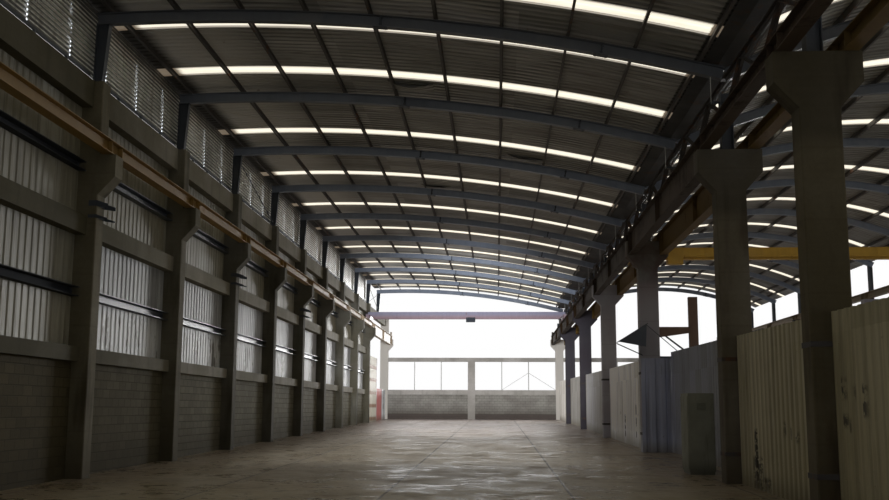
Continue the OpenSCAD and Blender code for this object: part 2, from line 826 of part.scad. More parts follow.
module hoist(x, y) {
    side = bridge_w / 2 + hoist_gap;
    out = side + hoist_plate;
    low = bridge_z - hoist_gap - hoist_h;
    axle = bridge_z + flange_t + wheel_gap + hoist_wheel_d / 2;
    translate([x, y, 0]) {
        span([-hoist_w / 2, -out, low], [hoist_w / 2, out, low + hoist_h]);
        for (end = [0, 1]) mirror([0, end, 0]) {
            span([-hoist_w / 2, side, low], [hoist_w / 2, out, bridge_z + hoist_side_h]);
            for (place = [-1, 1]) translate([place * hoist_w / 3, side - groove_depth, axle])
                rotate([-90, 0, 0])
                    cylinder(d = hoist_wheel_d, h = groove_depth + hoist_plate / 2, $fn = round_fn);
        }
    }
}

module first_crane_hoist() {
    color("rosybrown") at_scale() hoist(left_x + hoist1_x, crane1_y);
}

module second_crane_hoist() {
    color("gold") at_scale() hoist(middle_right_x + hoist2_x, crane2_y);
}

// Hoarding between the middle columns, set back where the hall is open to the second nave.
strap_t = 8;
strap_h = 80;
hoarding_off = col_y / 2 + strap_t;
hoarding_y = [for (k = [0:len(head_frames) - 2])
    [frame_y(head_frames[k]) + hoarding_off, frame_y(head_frames[k + 1]) - hoarding_off]];
recess_k = search(recess_frames[0], head_frames)[0];
recess_y = hoarding_y[recess_k];

// Upright sheets that follow the floor's slope at their foot and top.
module sloping_sheets(x, y, h) {
    intersection() {
        ribbed_wall(x + hoarding_t / 2, y, [0, floor_z(y[1]) + h], sheet_pitch, hoarding_t);
        sloping([x - hoarding_t, x + hoarding_t], y, [0, h]);
    }
}

// A sheet across the hall, which closes the recess beside a column.
module return_sheet(y, x0, x1) {
    translate([x0, y, floor_z(y + hoarding_t)])
        linear_extrude(hoarding_h) ribbed_outline(x1 - x0, sheet_pitch, hoarding_t, sheet_t);
}

module hoarding_sheets() {
    end = recess_x - hoarding_t / 2 - seat_gap;
    color("lightgray") at_scale() {
        for (k = [0:len(hoarding_y) - 1]) if (k != recess_k) sloping_sheets(0, hoarding_y[k], hoarding_h);
        sloping_sheets(recess_x, recess_y, recess_h);
        return_sheet(recess_y[0] + seat_gap, middle_left_x, end);
        return_sheet(recess_y[1] - hoarding_t - seat_gap, middle_left_x, end);
    }
}

// A strap round a middle column.
module column_strap() {
    linear_extrude(strap_h) difference() {
        square([col_x, col_y] + 2 * [strap_t, strap_t], center = true);
        square([col_x, col_y], center = true);
    }
}

// Rails on the hoarding's far side, and straps at their height round the columns before the far wall.
module hoarding_rails() {
    color("saddlebrown") at_scale() for (z = [hoarding_low, hoarding_high]) {
        for (k = [0:len(hoarding_y) - 1]) {
            x = (k == recess_k ? recess_x : 0) + hoarding_t / 2;
            sloping([x, x + hoarding_rail], hoarding_y[k], [z, z + hoarding_rail]);
        }
        for (i = head_frames) if (i < bays)
            translate([0, frame_y(i), floor_z(frame_y(i)) + z]) column_strap();
    }
}

// Steel frame beside one middle column: a post, two bars and a stay, with a sloping plate on the near side.
frame_bar = 120;
frame_post_x = 1400;
frame_post_z = 4640;
frame_bars_z = [3170, 4080];
plate_t = 30;
plate_low = [-1060, 3700];
plate_high = [-120, 4280];
plate_depth = 500;
strut_foot = [-250, 3300];

module frame_plate(a, b, t, y0, y1) {
    along_y(y0, y1) polygon([a, b, b + [0, t], a + [0, t]]);
}

module column_frame() {
    half = frame_bar / 2;
    y = frame_y(recess_frames[1]);
    near_y = y - col_y / 2;
    color("darkslategray") at_scale() {
        standing([frame_post_x - half, frame_post_x + half], [y - half, y + half], frame_post_z);
        for (z = frame_bars_z)
            span([middle_right_x, y - half, z], [frame_post_x - half, y + half, z + frame_bar]);
        frame_plate([middle_right_x, frame_bars_z[1]], [frame_post_x - half, frame_bars_z[0] + frame_bar],
            half, y - half / 2, y + half / 2);
        frame_plate(plate_low, plate_high, plate_t, near_y - plate_depth, near_y);
        frame_plate(plate_low - [0, plate_t], strut_foot, plate_t, near_y - half, near_y);
    }
}

// Sheets on light posts in the last two bays of the left side.
end_post = 120;

module end_rail(x, y, z) {
    span([x - sheet_depth - end_post / 2, y[0], z], [x - sheet_depth, y[1], z + end_post / 2]);
}

module left_end_panels() {
    x = -beam_setback;
    first = [frame_y(wall_bays) + col_y / 2, frame_y(wall_bays + 1) - end_post / 2];
    second = [frame_y(wall_bays + 1) + end_post / 2, frame_y(bays) - col_y / 2];
    color("lightgray") at_scale() translate([left_x, 0, 0]) {
        on_floor() {
            ribbed_wall(x, first, [0, end_sheet_z], sheet_pitch, sheet_depth);
            ribbed_wall(x, second, [0, floor_z(second[0]) + end_panel_h], sheet_pitch, sheet_depth);
        }
        standing([x - end_post, x], [first[1], second[0]], end_sheet_z);
        for (z = [end_sheet_z / 2, end_sheet_z - end_post]) end_rail(x, first, z);
        for (z = [floor_z(second[1]) + end_panel_h / 3, floor_z(second[0]) + end_panel_h - end_post])
            end_rail(x, second, z);
    }
}

// The far end: low masonry under a coping, posts, and a high cross beam.
post_at = nave_w / 2;
far_runs = [[0, post_at - far_post_x / 2], [post_at + far_post_x / 2, nave_w]];
far_cope_z = floor_z(far_y) + far_block_h;
far_wall_y = [far_y - far_t / 2, far_y + far_t / 2];
far_beam_y = [far_y - col_y / 2, far_y + col_y / 2];

module far_spans() {
    for (x = [left_x, middle_right_x]) translate([x, 0, 0]) children();
}

module far_block_wall() {
    color("dimgray") at_scale() far_spans() for (x = far_runs) standing(x, far_wall_y, far_cope_z);
}

module far_coping() {
    color("gray") at_scale() far_spans() for (x = far_runs)
        span([x[0], far_wall_y[0] - far_cope_out, far_cope_z],
            [x[1], far_wall_y[1] + far_cope_out, far_cope_z + far_cope_h]);
}

module far_posts() {
    color("gray") at_scale() far_spans() standing([far_runs[0][1], far_runs[1][0]], far_beam_y, far_beam_z);
}

module far_upper_beams() {
    color("gray") at_scale() far_spans()
        span([0, far_beam_y[0], far_beam_z], [nave_w, far_beam_y[1], far_beam_z + far_beam_h]);
}

// Slim posts between the coping and the upper beam, two to each opening, and a pair of stays.
brace_post = 60;
brace_t = 30;

module far_braces() {
    low = far_cope_z + far_cope_h;
    stay_top = low + 0.6 * (far_beam_z - low);
    run = (far_runs[0][1] - far_runs[0][0]) / 3;
    peak = far_runs[1][0] + 2 * run;
    color("gray") at_scale() far_spans() {
        for (x = far_runs, k = [1, 2])
            span([x[0] + k * run - brace_post / 2, far_y - brace_post / 2, low],
                [x[0] + k * run + brace_post / 2, far_y + brace_post / 2, far_beam_z]);
        for (side = [-1, 1]) frame_plate([peak + side * run, low], [peak, stay_top], brace_t,
            far_y - brace_post / 2, far_y + brace_post / 2);
    }
}

// Free-standing switch cabinet by the recess in the hoarding.
cabinet = [580, 900, 1800];
cabinet_x = -595;
cabinet_y = frame_y(recess_frames[0]) + 2200;
cabinet_plinth = 60;
plinth_in = 20;

module electrical_cabinet() {
    low = floor_z(cabinet_y + cabinet[1]);
    color("silver") at_scale() {
        standing([cabinet_x + plinth_in, cabinet_x + cabinet[0] - plinth_in],
            [cabinet_y + plinth_in, cabinet_y + cabinet[1] - plinth_in], low + cabinet_plinth);
        translate([cabinet_x, cabinet_y, low + cabinet_plinth]) cube(cabinet - [0, 0, cabinet_plinth]);
    }
}

floor_slab();
left_columns();
middle_columns();
right_columns();
column_clamps();
left_block_wall();
left_dado_beams();
left_middle_beams();
left_top_beams();
wall_rails();
wall_sheets();
louvre_band();
louvre_posts();
left_stub_columns();
middle_stub_columns();
right_stub_columns();
middle_lattice_girder();
bracing_rods();
first_nave_rafters();
first_nave_purlins();
first_nave_roof_sheets();
first_nave_skylights();
second_nave_rafters();
second_nave_purlins();
second_nave_roof_sheets();
second_nave_skylights();
valley_gutter();
left_crane_runway();
middle_left_crane_runway();
middle_right_crane_runway();
right_crane_runway();
first_crane_beam();
first_crane_end_carriages();
first_crane_hoist();
second_crane_beam();
second_crane_end_carriages();
second_crane_hoist();
hoarding_sheets();
hoarding_rails();
column_frame();
left_end_panels();
far_block_wall();
far_coping();
far_posts();
far_upper_beams();
far_braces();
electrical_cabinet();
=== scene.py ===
# Looks of the two-nave factory hall: finishes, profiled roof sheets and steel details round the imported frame
import json
import math

import bmesh
import bpy
import numpy as np
from mathutils import Matrix, Vector

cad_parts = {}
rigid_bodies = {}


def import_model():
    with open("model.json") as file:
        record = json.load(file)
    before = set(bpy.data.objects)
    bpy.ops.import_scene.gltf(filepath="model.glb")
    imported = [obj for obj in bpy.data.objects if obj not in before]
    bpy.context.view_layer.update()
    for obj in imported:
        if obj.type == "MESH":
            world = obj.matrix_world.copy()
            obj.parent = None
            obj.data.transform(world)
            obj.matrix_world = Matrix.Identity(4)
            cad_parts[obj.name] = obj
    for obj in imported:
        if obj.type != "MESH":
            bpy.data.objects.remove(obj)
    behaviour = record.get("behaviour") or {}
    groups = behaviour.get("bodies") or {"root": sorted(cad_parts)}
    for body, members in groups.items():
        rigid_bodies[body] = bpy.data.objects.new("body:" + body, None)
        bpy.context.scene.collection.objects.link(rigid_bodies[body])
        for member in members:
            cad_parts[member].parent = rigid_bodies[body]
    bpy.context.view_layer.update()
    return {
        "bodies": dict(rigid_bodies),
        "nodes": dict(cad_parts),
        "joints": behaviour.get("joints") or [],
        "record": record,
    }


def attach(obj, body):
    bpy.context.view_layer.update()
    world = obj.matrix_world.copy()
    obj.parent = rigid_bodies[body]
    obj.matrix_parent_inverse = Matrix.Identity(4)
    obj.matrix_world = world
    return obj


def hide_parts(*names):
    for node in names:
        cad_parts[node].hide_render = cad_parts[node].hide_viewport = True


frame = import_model()
nodes = frame["nodes"]

# All places below are metres of the full-size hall, up from the floor at the near end
model = {"scale": 0.5, "lift": 0.1}
hall = {"bay": 6.0, "bays": 12, "roofBays": 11, "nave": 13.16, "columnX": 0.63, "columnY": 0.44,
        "floorRise": 0.011, "floorMiddle": 0.4, "cabinetFoot": 0.1661,
        "seat": 7.01, "wallTop": 8.66, "valley": 8.59}
middleX = hall["columnX"] / 2
leftX = -middleX - hall["nave"]
rightX = -leftX
headFrames = [0, 1, 2, 4, 6, 8, 10, 12]
wallFrames = [*range(11), 12]


def frameY(i):
    return (np.asarray(i, float) - hall["bays"] / 2) * hall["bay"]


def floorZ(y):
    return (y + hall["bays"] / 2 * hall["bay"]) * hall["floorRise"]


# Camera at the photo's viewpoint

view = {"place": (-2.450, -22.769, 0.895), "left": 2.921, "up": 8.780, "roll": 0.227, "lens": 41.68}


def addCamera():
    yaw, pitch, roll = (math.radians(view[k]) for k in ("left", "up", "roll"))
    camera = bpy.data.objects.new("camera", bpy.data.cameras.new("camera"))
    camera.data.lens = view["lens"]
    camera.data.clip_end = 300
    camera.matrix_world = (Matrix.Translation(view["place"]) @ Matrix.Rotation(yaw, 4, "Z")
                           @ Matrix.Rotation(math.pi / 2 + pitch, 4, "X") @ Matrix.Rotation(roll, 4, "Z"))
    bpy.context.scene.collection.objects.link(camera)
    bpy.context.scene.camera = camera


addCamera()
print("camera set")


# Shader sums

def maths(operation):
    return lambda self, *others: self.node("Math", {"operation": operation}, dict(enumerate((self, *others))))


class Value:
    # One shader socket: sums on it add Math nodes, and node() adds any other node
    def __init__(self, tree, socket):
        self.tree = tree
        self.socket = socket

    def node(self, kind, settings=None, inputs=None, output=0):
        made = self.tree.nodes.new("ShaderNode" + kind)
        for key, setting in (settings or {}).items():
            setattr(made, key, setting)
        for key, given in (inputs or {}).items():
            if isinstance(given, Value):
                self.tree.links.new(given.socket, made.inputs[key])
            else:
                made.inputs[key].default_value = given
        return Value(self.tree, made.outputs[output])

    __add__ = __radd__ = maths("ADD")
    __mul__ = __rmul__ = maths("MULTIPLY")
    __sub__ = maths("SUBTRACT")
    __truediv__ = maths("DIVIDE")
    __pow__ = maths("POWER")
    floor = maths("FLOOR")
    part = maths("FRACT")
    size = maths("ABSOLUTE")
    least = maths("MINIMUM")
    most = maths("MAXIMUM")

    def __rsub__(self, other):
        return self.node("Math", {"operation": "SUBTRACT"}, {0: other, 1: self})

    def step(self, low, high):  # 0 under low, 1 over high, smooth between them
        return self.node("MapRange", {"interpolation_type": "SMOOTHSTEP"}, {0: self, 1: low, 2: high})

    def between(self, low, lowEnd, high, highEnd):  # rises from low to lowEnd, falls from high to highEnd
        return self.step(low, lowEnd) * (1 - self.step(high, highEnd))

    def near(self, place, reach, soft):  # 1 within reach of a place, 0 past reach + soft
        return 1 - (self - place).size().step(reach, reach + soft)

    def line(self, pitch, width, soft):  # 1 on lines a pitch apart
        away = ((self / pitch + 0.5).part() - 0.5).size()
        return away.step(width / pitch, (width + soft) / pitch) * -1 + 1


def shade(colour):
    return colour if isinstance(colour, Value) else (*colour, 1)


def moved(place, scales, shift=(0, 0, 0)):
    return place.node("VectorMath", {"operation": "MULTIPLY_ADD"}, {0: place, 1: scales, 2: shift})


class Finish:
    # A material whose patterns are read in metres of the full-size hall, with its colour laid on in coats
    def __init__(self, name):
        self.colour = None
        self.material = bpy.data.materials.new(name)
        self.material.use_nodes = True
        self.tree = self.material.node_tree
        self.tree.nodes.clear()
        start = Value(self.tree, None)
        place = start.node("TexCoord", output=3)
        self.place = moved(place, (1 / model["scale"],) * 3, (0, 0, -model["lift"] / model["scale"]))
        parts = (start.node("SeparateXYZ", inputs={0: self.place}, output=k) for k in range(3))
        self.x, self.y, self.z = parts
        self.up = start.node("SeparateXYZ", inputs={0: start.node("NewGeometry", output=1)}, output=2)

    def noise(self, scale, detail=3.0, rough=0.55, stretch=(1, 1, 1), shift=(0, 0, 0)):
        place = moved(self.place, tuple(s * scale for s in stretch), shift)
        return self.x.node("TexNoise",
                           inputs={"Vector": place, "Scale": 1.0, "Detail": detail, "Roughness": rough})

    def cells(self, scale):
        place = moved(self.place, (scale,) * 3)
        return self.x.node("TexVoronoi", inputs={"Vector": place, "Scale": 1.0})

    def chance(self, x, y):  # one chance value for each whole x and y
        return self.x.node("TexWhiteNoise", inputs={0: self.x.node("CombineXYZ", inputs={0: x, 1: y})})

    def mix(self, factor, first, second):
        return self.x.node("Mix", {"data_type": "RGBA"}, {0: factor, 6: shade(first), 7: shade(second)}, 2)

    def tone(self, colour, factor):  # a colour made darker or lighter by a factor
        return self.x.node("VectorMath", {"operation": "SCALE"}, {0: colour, 3: factor})

    def tint(self, factors):  # the colour so far with its three parts made darker or lighter
        return self.x.node("VectorMath", {"operation": "MULTIPLY"}, {0: self.colour, 1: factors})

    def over(self, factor, colour):  # a coat of another colour over the colour so far
        self.colour = self.mix(factor, self.colour, colour)

    def scale(self, factor):  # the colour so far made darker or lighter
        self.colour = self.tone(self.colour, factor)

    def overFloor(self):  # height over the sloping floor
        return self.z - self.y * hall["floorRise"] - hall["floorMiddle"]

    def mark(self, y, z, wide, high, soft=0.1):  # 1 inside an upright patch that runs along the hall
        return self.y.near(y, wide / 2, soft) * self.z.near(z, high / 2, soft)

    def surface(self, rough, height, depth, metal=0.0, glow=(1, 1, 1), glowLevel=0.0, shine=0.5):
        depth = depth * model["scale"]
        bump = self.x.node("Bump", inputs={"Height": height, "Distance": depth, "Strength": 1.0})
        shader = self.x.node("BsdfPrincipled", inputs={
            "Base Color": self.colour, "Roughness": rough, "Metallic": metal, "Emission Color": shade(glow),
            "Emission Strength": glowLevel, "Specular IOR Level": shine, "Normal": bump})
        out = self.tree.nodes.new("ShaderNodeOutputMaterial")
        self.tree.links.new(shader.socket, out.inputs[0])
        return self.material


# Finishes

# Main, stained and pale colours, how much is washed dark, the height of the formwork's lifts, and two places
# along the hall with the change of colour between them: painted light and haze from the open end, which make
# most of them paler and bluer further along
concretes = {
    "columnConcrete": ((0.135, 0.118, 0.074), (0.058, 0.049, 0.029), (0.22, 0.20, 0.145), 0.75, 1.1,
                       (-24, -12), (0.75, 0.80, 0.95)),
    "darkConcrete": ((0.115, 0.096, 0.055), (0.056, 0.040, 0.024), (0.170, 0.148, 0.100), 0.75, 1.1,
                     (-29, -14), (2.3, 2.6, 4.0)),
    "beamConcrete": ((0.070, 0.062, 0.034), (0.040, 0.035, 0.020), (0.105, 0.095, 0.062), 0.40, 0,
                     (-26, -17), (2.6, 2.7, 3.5)),
    # pale: painted haze on the far end's concrete
    "paleConcrete": ((0.42, 0.405, 0.38), (0.26, 0.245, 0.225), (0.60, 0.58, 0.56), 0.5, 0,
                     (0, 1), (1, 1, 1)),
}


def concreteFinish(name):
    main, stain, pale, washed, lift, (near, far), farLightTint = concretes[name]
    f = Finish(name)
    cloud = f.noise(0.45, 4, shift=(3, 1, 7))
    wash = f.noise(1.0, 3, stretch=(2.2, 2.2, 0.35), shift=(9, 2, 1))
    board = f.noise(1.0, 3, stretch=(0.3, 0.3, 9), shift=(4, 4, 4))
    grain = f.noise(14, 4, 0.65)
    pores = f.cells(22)
    f.colour = f.mix(cloud.step(0.35, 0.7), main, pale)
    f.over(wash.step(0.50, 0.74) * washed, stain)
    f.scale(0.72 + grain * 0.36 + board * 0.20)
    foot = 1 - f.overFloor().step(0.0, 0.9 + cloud)
    f.over(foot * 0.45, stain)
    # painted light and haze: the colour changes further along, towards the open end
    f.over(f.y.step(near, far), f.tint(farLightTint))
    if name == "darkConcrete":  # red-brown patches on some of the columns, and painted shade on the heads
        frame = (f.y / hall["bay"] + 0.5).floor()
        red = f.chance(frame, 5.0).step(0.35, 0.45) * f.noise(0.6, 4, shift=(1, 8, 2)).step(0.40, 0.55)
        f.over(red * f.y.step(-20, -14) * 0.75, (0.150, 0.080, 0.070))
        # painted shade: darker heads
        f.scale(1 - f.z.step(5.4, 5.8) * 0.40)
        sixth = f.y.step(-9, -3)  # painted haze of daylight, low on the fourth frame's column and all over the sixth's
        paintedHaze = f.y.step(-20, -13) * (1 - f.z.step(4.6, 6.4) * (1 - sixth))
        f.over(paintedHaze * 0.60, (0.52, 0.53, 0.62))
        f.over(f.y.step(8, 10), f.tint((0.14, 0.13, 0.14)))  # the last ones stand dark against the light
    if lift:  # dark joints between the lifts of the formwork, and pale last columns
        f.over(f.z.line(lift, 0.008, 0.02) * 0.14, stain)
        f.over(f.y.step(33, 34) * 0.85, (0.80, 0.77, 0.72))
    rough = 0.82 + grain * 0.15
    hollow = 1 - pores.step(0.06, 0.16) * 0.9
    return f.surface(rough, grain * 0.5 + cloud - hollow * 0.6, 0.006, shine=0.25)


blocks = {"length": 0.40, "height": 0.20, "joint": 0.012, "mortar": (0.052, 0.044, 0.024),
          "shades": ((0.070, 0.058, 0.029), (0.100, 0.083, 0.043)), "damp": (0.042, 0.034, 0.017)}


def blockFinish(name, pale):
    f = Finish(name)
    upward = f.z / blocks["height"]
    row = upward.floor()
    along = (f.x + f.y) / blocks["length"] + row * 0.5

    def joints(run, pitch):  # 1 where one block ends and the next starts
        return ((run.part() - 0.5).size() * pitch - pitch / 2 + blocks["joint"]).step(0, 0.006)

    joint = joints(along, blocks["length"]).most(joints(upward, blocks["height"]))
    chance = f.chance(along.floor(), row)
    grain = f.noise(18, 4, 0.7)
    cloud = f.noise(0.5, 4, shift=(5, 5, 2))
    f.colour = f.mix(chance * 0.5 + cloud.step(0.35, 0.65) * 0.5, *blocks["shades"])
    if pale:  # the far wall is pale, which is painted haze from the open end, with dark courses and a dark foot
        f.over(pale, f.mix(cloud.step(0.4, 0.6), (0.46, 0.45, 0.44), (0.64, 0.64, 0.62)))
    else:
        # painted light: paler and bluer further along, for the daylight and haze from the open end
        f.over(f.y.step(-28, -8), f.tint((2.2, 2.5, 3.6)))
    f.scale(0.68 + grain * 0.5 + chance * 0.08)
    f.over(joint * (0.45 + cloud * 0.4), f.tone(f.colour, 0.45) if pale else blocks["mortar"])
    damp = 1 - f.overFloor().step(0.1, 0.6 + cloud * 1.2)
    f.over((damp * 0.6).most(cloud.step(0.55, 0.75) * 0.4), blocks["damp"])
    if pale:
        foot = 1 - (f.z - floorZ(frameY(hall["bays"])) + cloud * 0.1).step(0.44, 0.50)
        f.over(foot * 0.85, (0.11, 0.092, 0.085))
    return f.surface(0.93, grain * 0.5 - joint * 1.2 + chance * 0.3, 0.008, shine=0.2)


floorLook = {"panel": 3.29, "shade": (0.34, 0.278, 0.190), "pale": (0.50, 0.445, 0.36),
             "joint": (0.05, 0.044, 0.036), "dirt": (0.135, 0.090, 0.050), "oil": (0.035, 0.030, 0.026)}


def floorFinish():
    f = Finish("floorConcrete")
    big = f.noise(0.16, 4, 0.6, (1, 0.6, 1))
    cloud = f.noise(0.8, 5, 0.62, (1, 0.7, 1), (4, 8, 1))
    fine = f.noise(9, 4, 0.7)
    drag = f.noise(0.9, 5, 0.66, (1.0, 0.8, 1), (7, 1, 3))
    scrape = f.noise(4.0, 5, 0.72, (0.7, 1.3, 1), (3, 3, 8))
    spots = f.noise(1.6, 3, 0.5, shift=(2, 9, 5))
    across = f.x.size() - middleX  # the panels' joints lie the same way in both naves
    column = (across / floorLook["panel"]).floor() + (f.x.step(0, 0.01) * 9)
    panel = f.chance(column, (f.y / hall["bay"]).floor())
    f.colour = f.mix(cloud.step(0.32, 0.68), floorLook["shade"], floorLook["pale"])
    f.scale(0.82 + panel * 0.22)
    f.over(drag.step(0.52, 0.72) * 0.55, floorLook["dirt"])
    f.over(big.step(0.50, 0.70) * 0.45, floorLook["dirt"])
    edge = 1 - (across.least(hall["nave"] - across)).step(0.2, 1.5 + cloud * 1.5)
    f.over(edge * 0.55, floorLook["dirt"])
    f.over(spots.step(0.66, 0.74) * 0.7, floorLook["oil"])
    f.scale(0.45 + fine * 0.5 + scrape * 0.6)
    f.colour = f.mix(f.y.step(-34, -20), f.tint((0.92, 0.89, 0.68)), f.colour)  # browner near, paler far
    # painted light: paler and bluer past the middle, for daylight reflected from the open end and haze
    f.over(f.y.step(-16, 14), f.tint((1.12, 1.13, 1.38)))
    wobble = f.noise(2.5, 2) * 0.02 - 0.01
    joint = (across + wobble).line(floorLook["panel"], 0.014, 0.02)
    joint = joint.most((f.y + wobble).line(hall["bay"], 0.010, 0.016))
    f.over(joint * 0.85, floorLook["joint"])
    rough = 0.14 + cloud.step(0.3, 0.7) * 0.14 + drag.step(0.42, 0.70) * 0.22 + scrape.step(0.35, 0.65) * 0.22
    return f.surface(rough, fine * 0.25 + cloud * 0.6 - joint * 0.8, 0.006)


# Paint, dust and rust colours, then how worn and how dusty it is, and how rough
steels = {
    "navySteel": ((0.040, 0.048, 0.062), (0.15, 0.13, 0.10), (0.11, 0.045, 0.018), 0.18, 0.35, 0.52),
    "rafterSteel": ((0.075, 0.080, 0.090), (0.19, 0.175, 0.150), (0.12, 0.055, 0.025), 0.12, 0.30, 0.48),
    "railSteel": ((0.050, 0.060, 0.078), (0.12, 0.115, 0.11), (0.09, 0.045, 0.022), 0.10, 0.30, 0.46),
    "latticeSteel": ((0.045, 0.040, 0.038), (0.13, 0.11, 0.085), (0.13, 0.060, 0.028), 0.55, 0.35, 0.66),
    "purlinSteel": ((0.085, 0.080, 0.075), (0.20, 0.17, 0.13), (0.17, 0.075, 0.035), 0.45, 0.4, 0.62),
    "ochreSteel": ((0.27, 0.160, 0.036), (0.19, 0.145, 0.07), (0.085, 0.040, 0.016), 0.38, 0.35, 0.60),
    "rustySteel": ((0.062, 0.036, 0.017), (0.075, 0.058, 0.040), (0.034, 0.017, 0.009), 0.55, 0.4, 0.72),
    "dullOchre": ((0.15, 0.092, 0.022), (0.11, 0.080, 0.035), (0.050, 0.026, 0.011), 0.35, 0.35, 0.66),
    # pale: dust, and painted daylight on the right runway
    "dustyOchre": ((0.26, 0.20, 0.13), (0.33, 0.30, 0.25), (0.10, 0.055, 0.03), 0.15, 0.9, 0.66),
    # the first crane's pale lilac-grey is painted haze over a rust-brown crane
    "craneBrown": ((0.27, 0.267, 0.369), (0.34, 0.334, 0.398), (0.185, 0.121, 0.107), 0.30, 0.5, 0.50),
    "craneYellow": ((0.56, 0.33, 0.035), (0.30, 0.24, 0.15), (0.11, 0.050, 0.022), 0.25, 0.3, 0.50),
    "frameBrown": ((0.20, 0.125, 0.095), (0.16, 0.13, 0.11), (0.09, 0.045, 0.030), 0.30, 0.3, 0.70),
    "paleSteel": ((0.50, 0.51, 0.50), (0.36, 0.33, 0.28), (0.20, 0.10, 0.05), 0.2, 0.4, 0.55),
}


def steelFinish(name):
    paint, dusted, rusted, worn, dusty, rough = steels[name]
    f = Finish(name)
    patch = f.noise(1.3, 5, 0.66, shift=(6, 3, 8))
    drip = f.noise(2.6, 4, 0.6, (2.2, 2.2, 0.4), (2, 6, 1))
    fine = f.noise(26, 4, 0.7)
    low = 0.68 - worn * 0.30
    rust = (patch * 0.62 + drip * 0.38).step(low, low + 0.10)
    f.colour = f.tone(paint, 0.8 + drip * 0.4)
    dust = f.up.step(0.25, 0.9).most(f.noise(0.9, 4, shift=(1, 1, 4)).step(0.5, 0.75) * 0.6)
    f.over(dust * dusty, dusted)
    f.over(rust * (0.65 + fine * 0.35), f.tone(rusted, 0.6 + fine * 0.9))
    rough = rough + rust * 0.22 + dust * 0.12 + fine * 0.06
    if name == "railSteel":  # dull in the first bays only, and darker there: painted shade
        first = 1 - f.y.step(-24.4, -24.2)
        rough = rough + first * 0.5
        f.scale(1 - first * 0.7)
    elif name == "rafterSteel":
        # painted light: paler and bluer further along, for the haze and daylight at the open end, and a little
        # lighter near
        f.colour = f.mix(f.y.step(-28, -6), f.tone(f.colour, 1.25), f.tint((3.2, 3.5, 4.0)))
    elif name == "rustySteel":
        f.scale(0.75 - f.y.step(-20, -4) * 0.3)
    elif name == "ochreSteel":  # paler and greyer towards the open end: painted haze
        f.over(f.y.step(-8, 14) * 0.8, (0.50, 0.42, 0.33))
    elif name == "craneBrown":  # redder under the upper edge
        f.over(1 - f.z.step(7.50, 7.78), f.tint((1.15, 0.86, 0.72)))
    return f.surface(rough, fine * 0.4 + rust * 0.8, 0.0016)


# Main, pale, streak and rust colours, a sheet's width, and how worn it is
sheets = {
    "wallSheet": ((0.33, 0.305, 0.220), (0.47, 0.455, 0.37), (0.12, 0.10, 0.065), (0.20, 0.095, 0.045),
                  1.12, 0.5),
    "hoardingSheet": ((0.39, 0.355, 0.225), (0.50, 0.46, 0.31), (0.17, 0.145, 0.090), (0.17, 0.085, 0.040),
                      0.84, 0.42),
}

# Tears and soot on the hoarding: the place along the hall and up of each, then its width and its height
marks = [(-25.52, 0.75, 0.22, 1.10), (-25.60, 0.42, 0.95, 0.62), (-26.1, 0.25, 1.0, 0.16),
         (-27.52, 1.27, 0.09, 0.16), (-27.85, 1.22, 0.08, 0.20), (-28.20, 1.15, 0.07, 0.07),
         (-30.60, 1.90, 0.08, 0.24), (-31.05, 1.84, 0.07, 0.12), (-31.42, 1.72, 0.09, 0.40),
         (-30.62, 1.45, 0.07, 0.08), (-30.80, 1.38, 0.07, 0.12), (-8.6, 1.2, 0.10, 1.3),
         (-5.4, 1.0, 0.30, 0.9)]


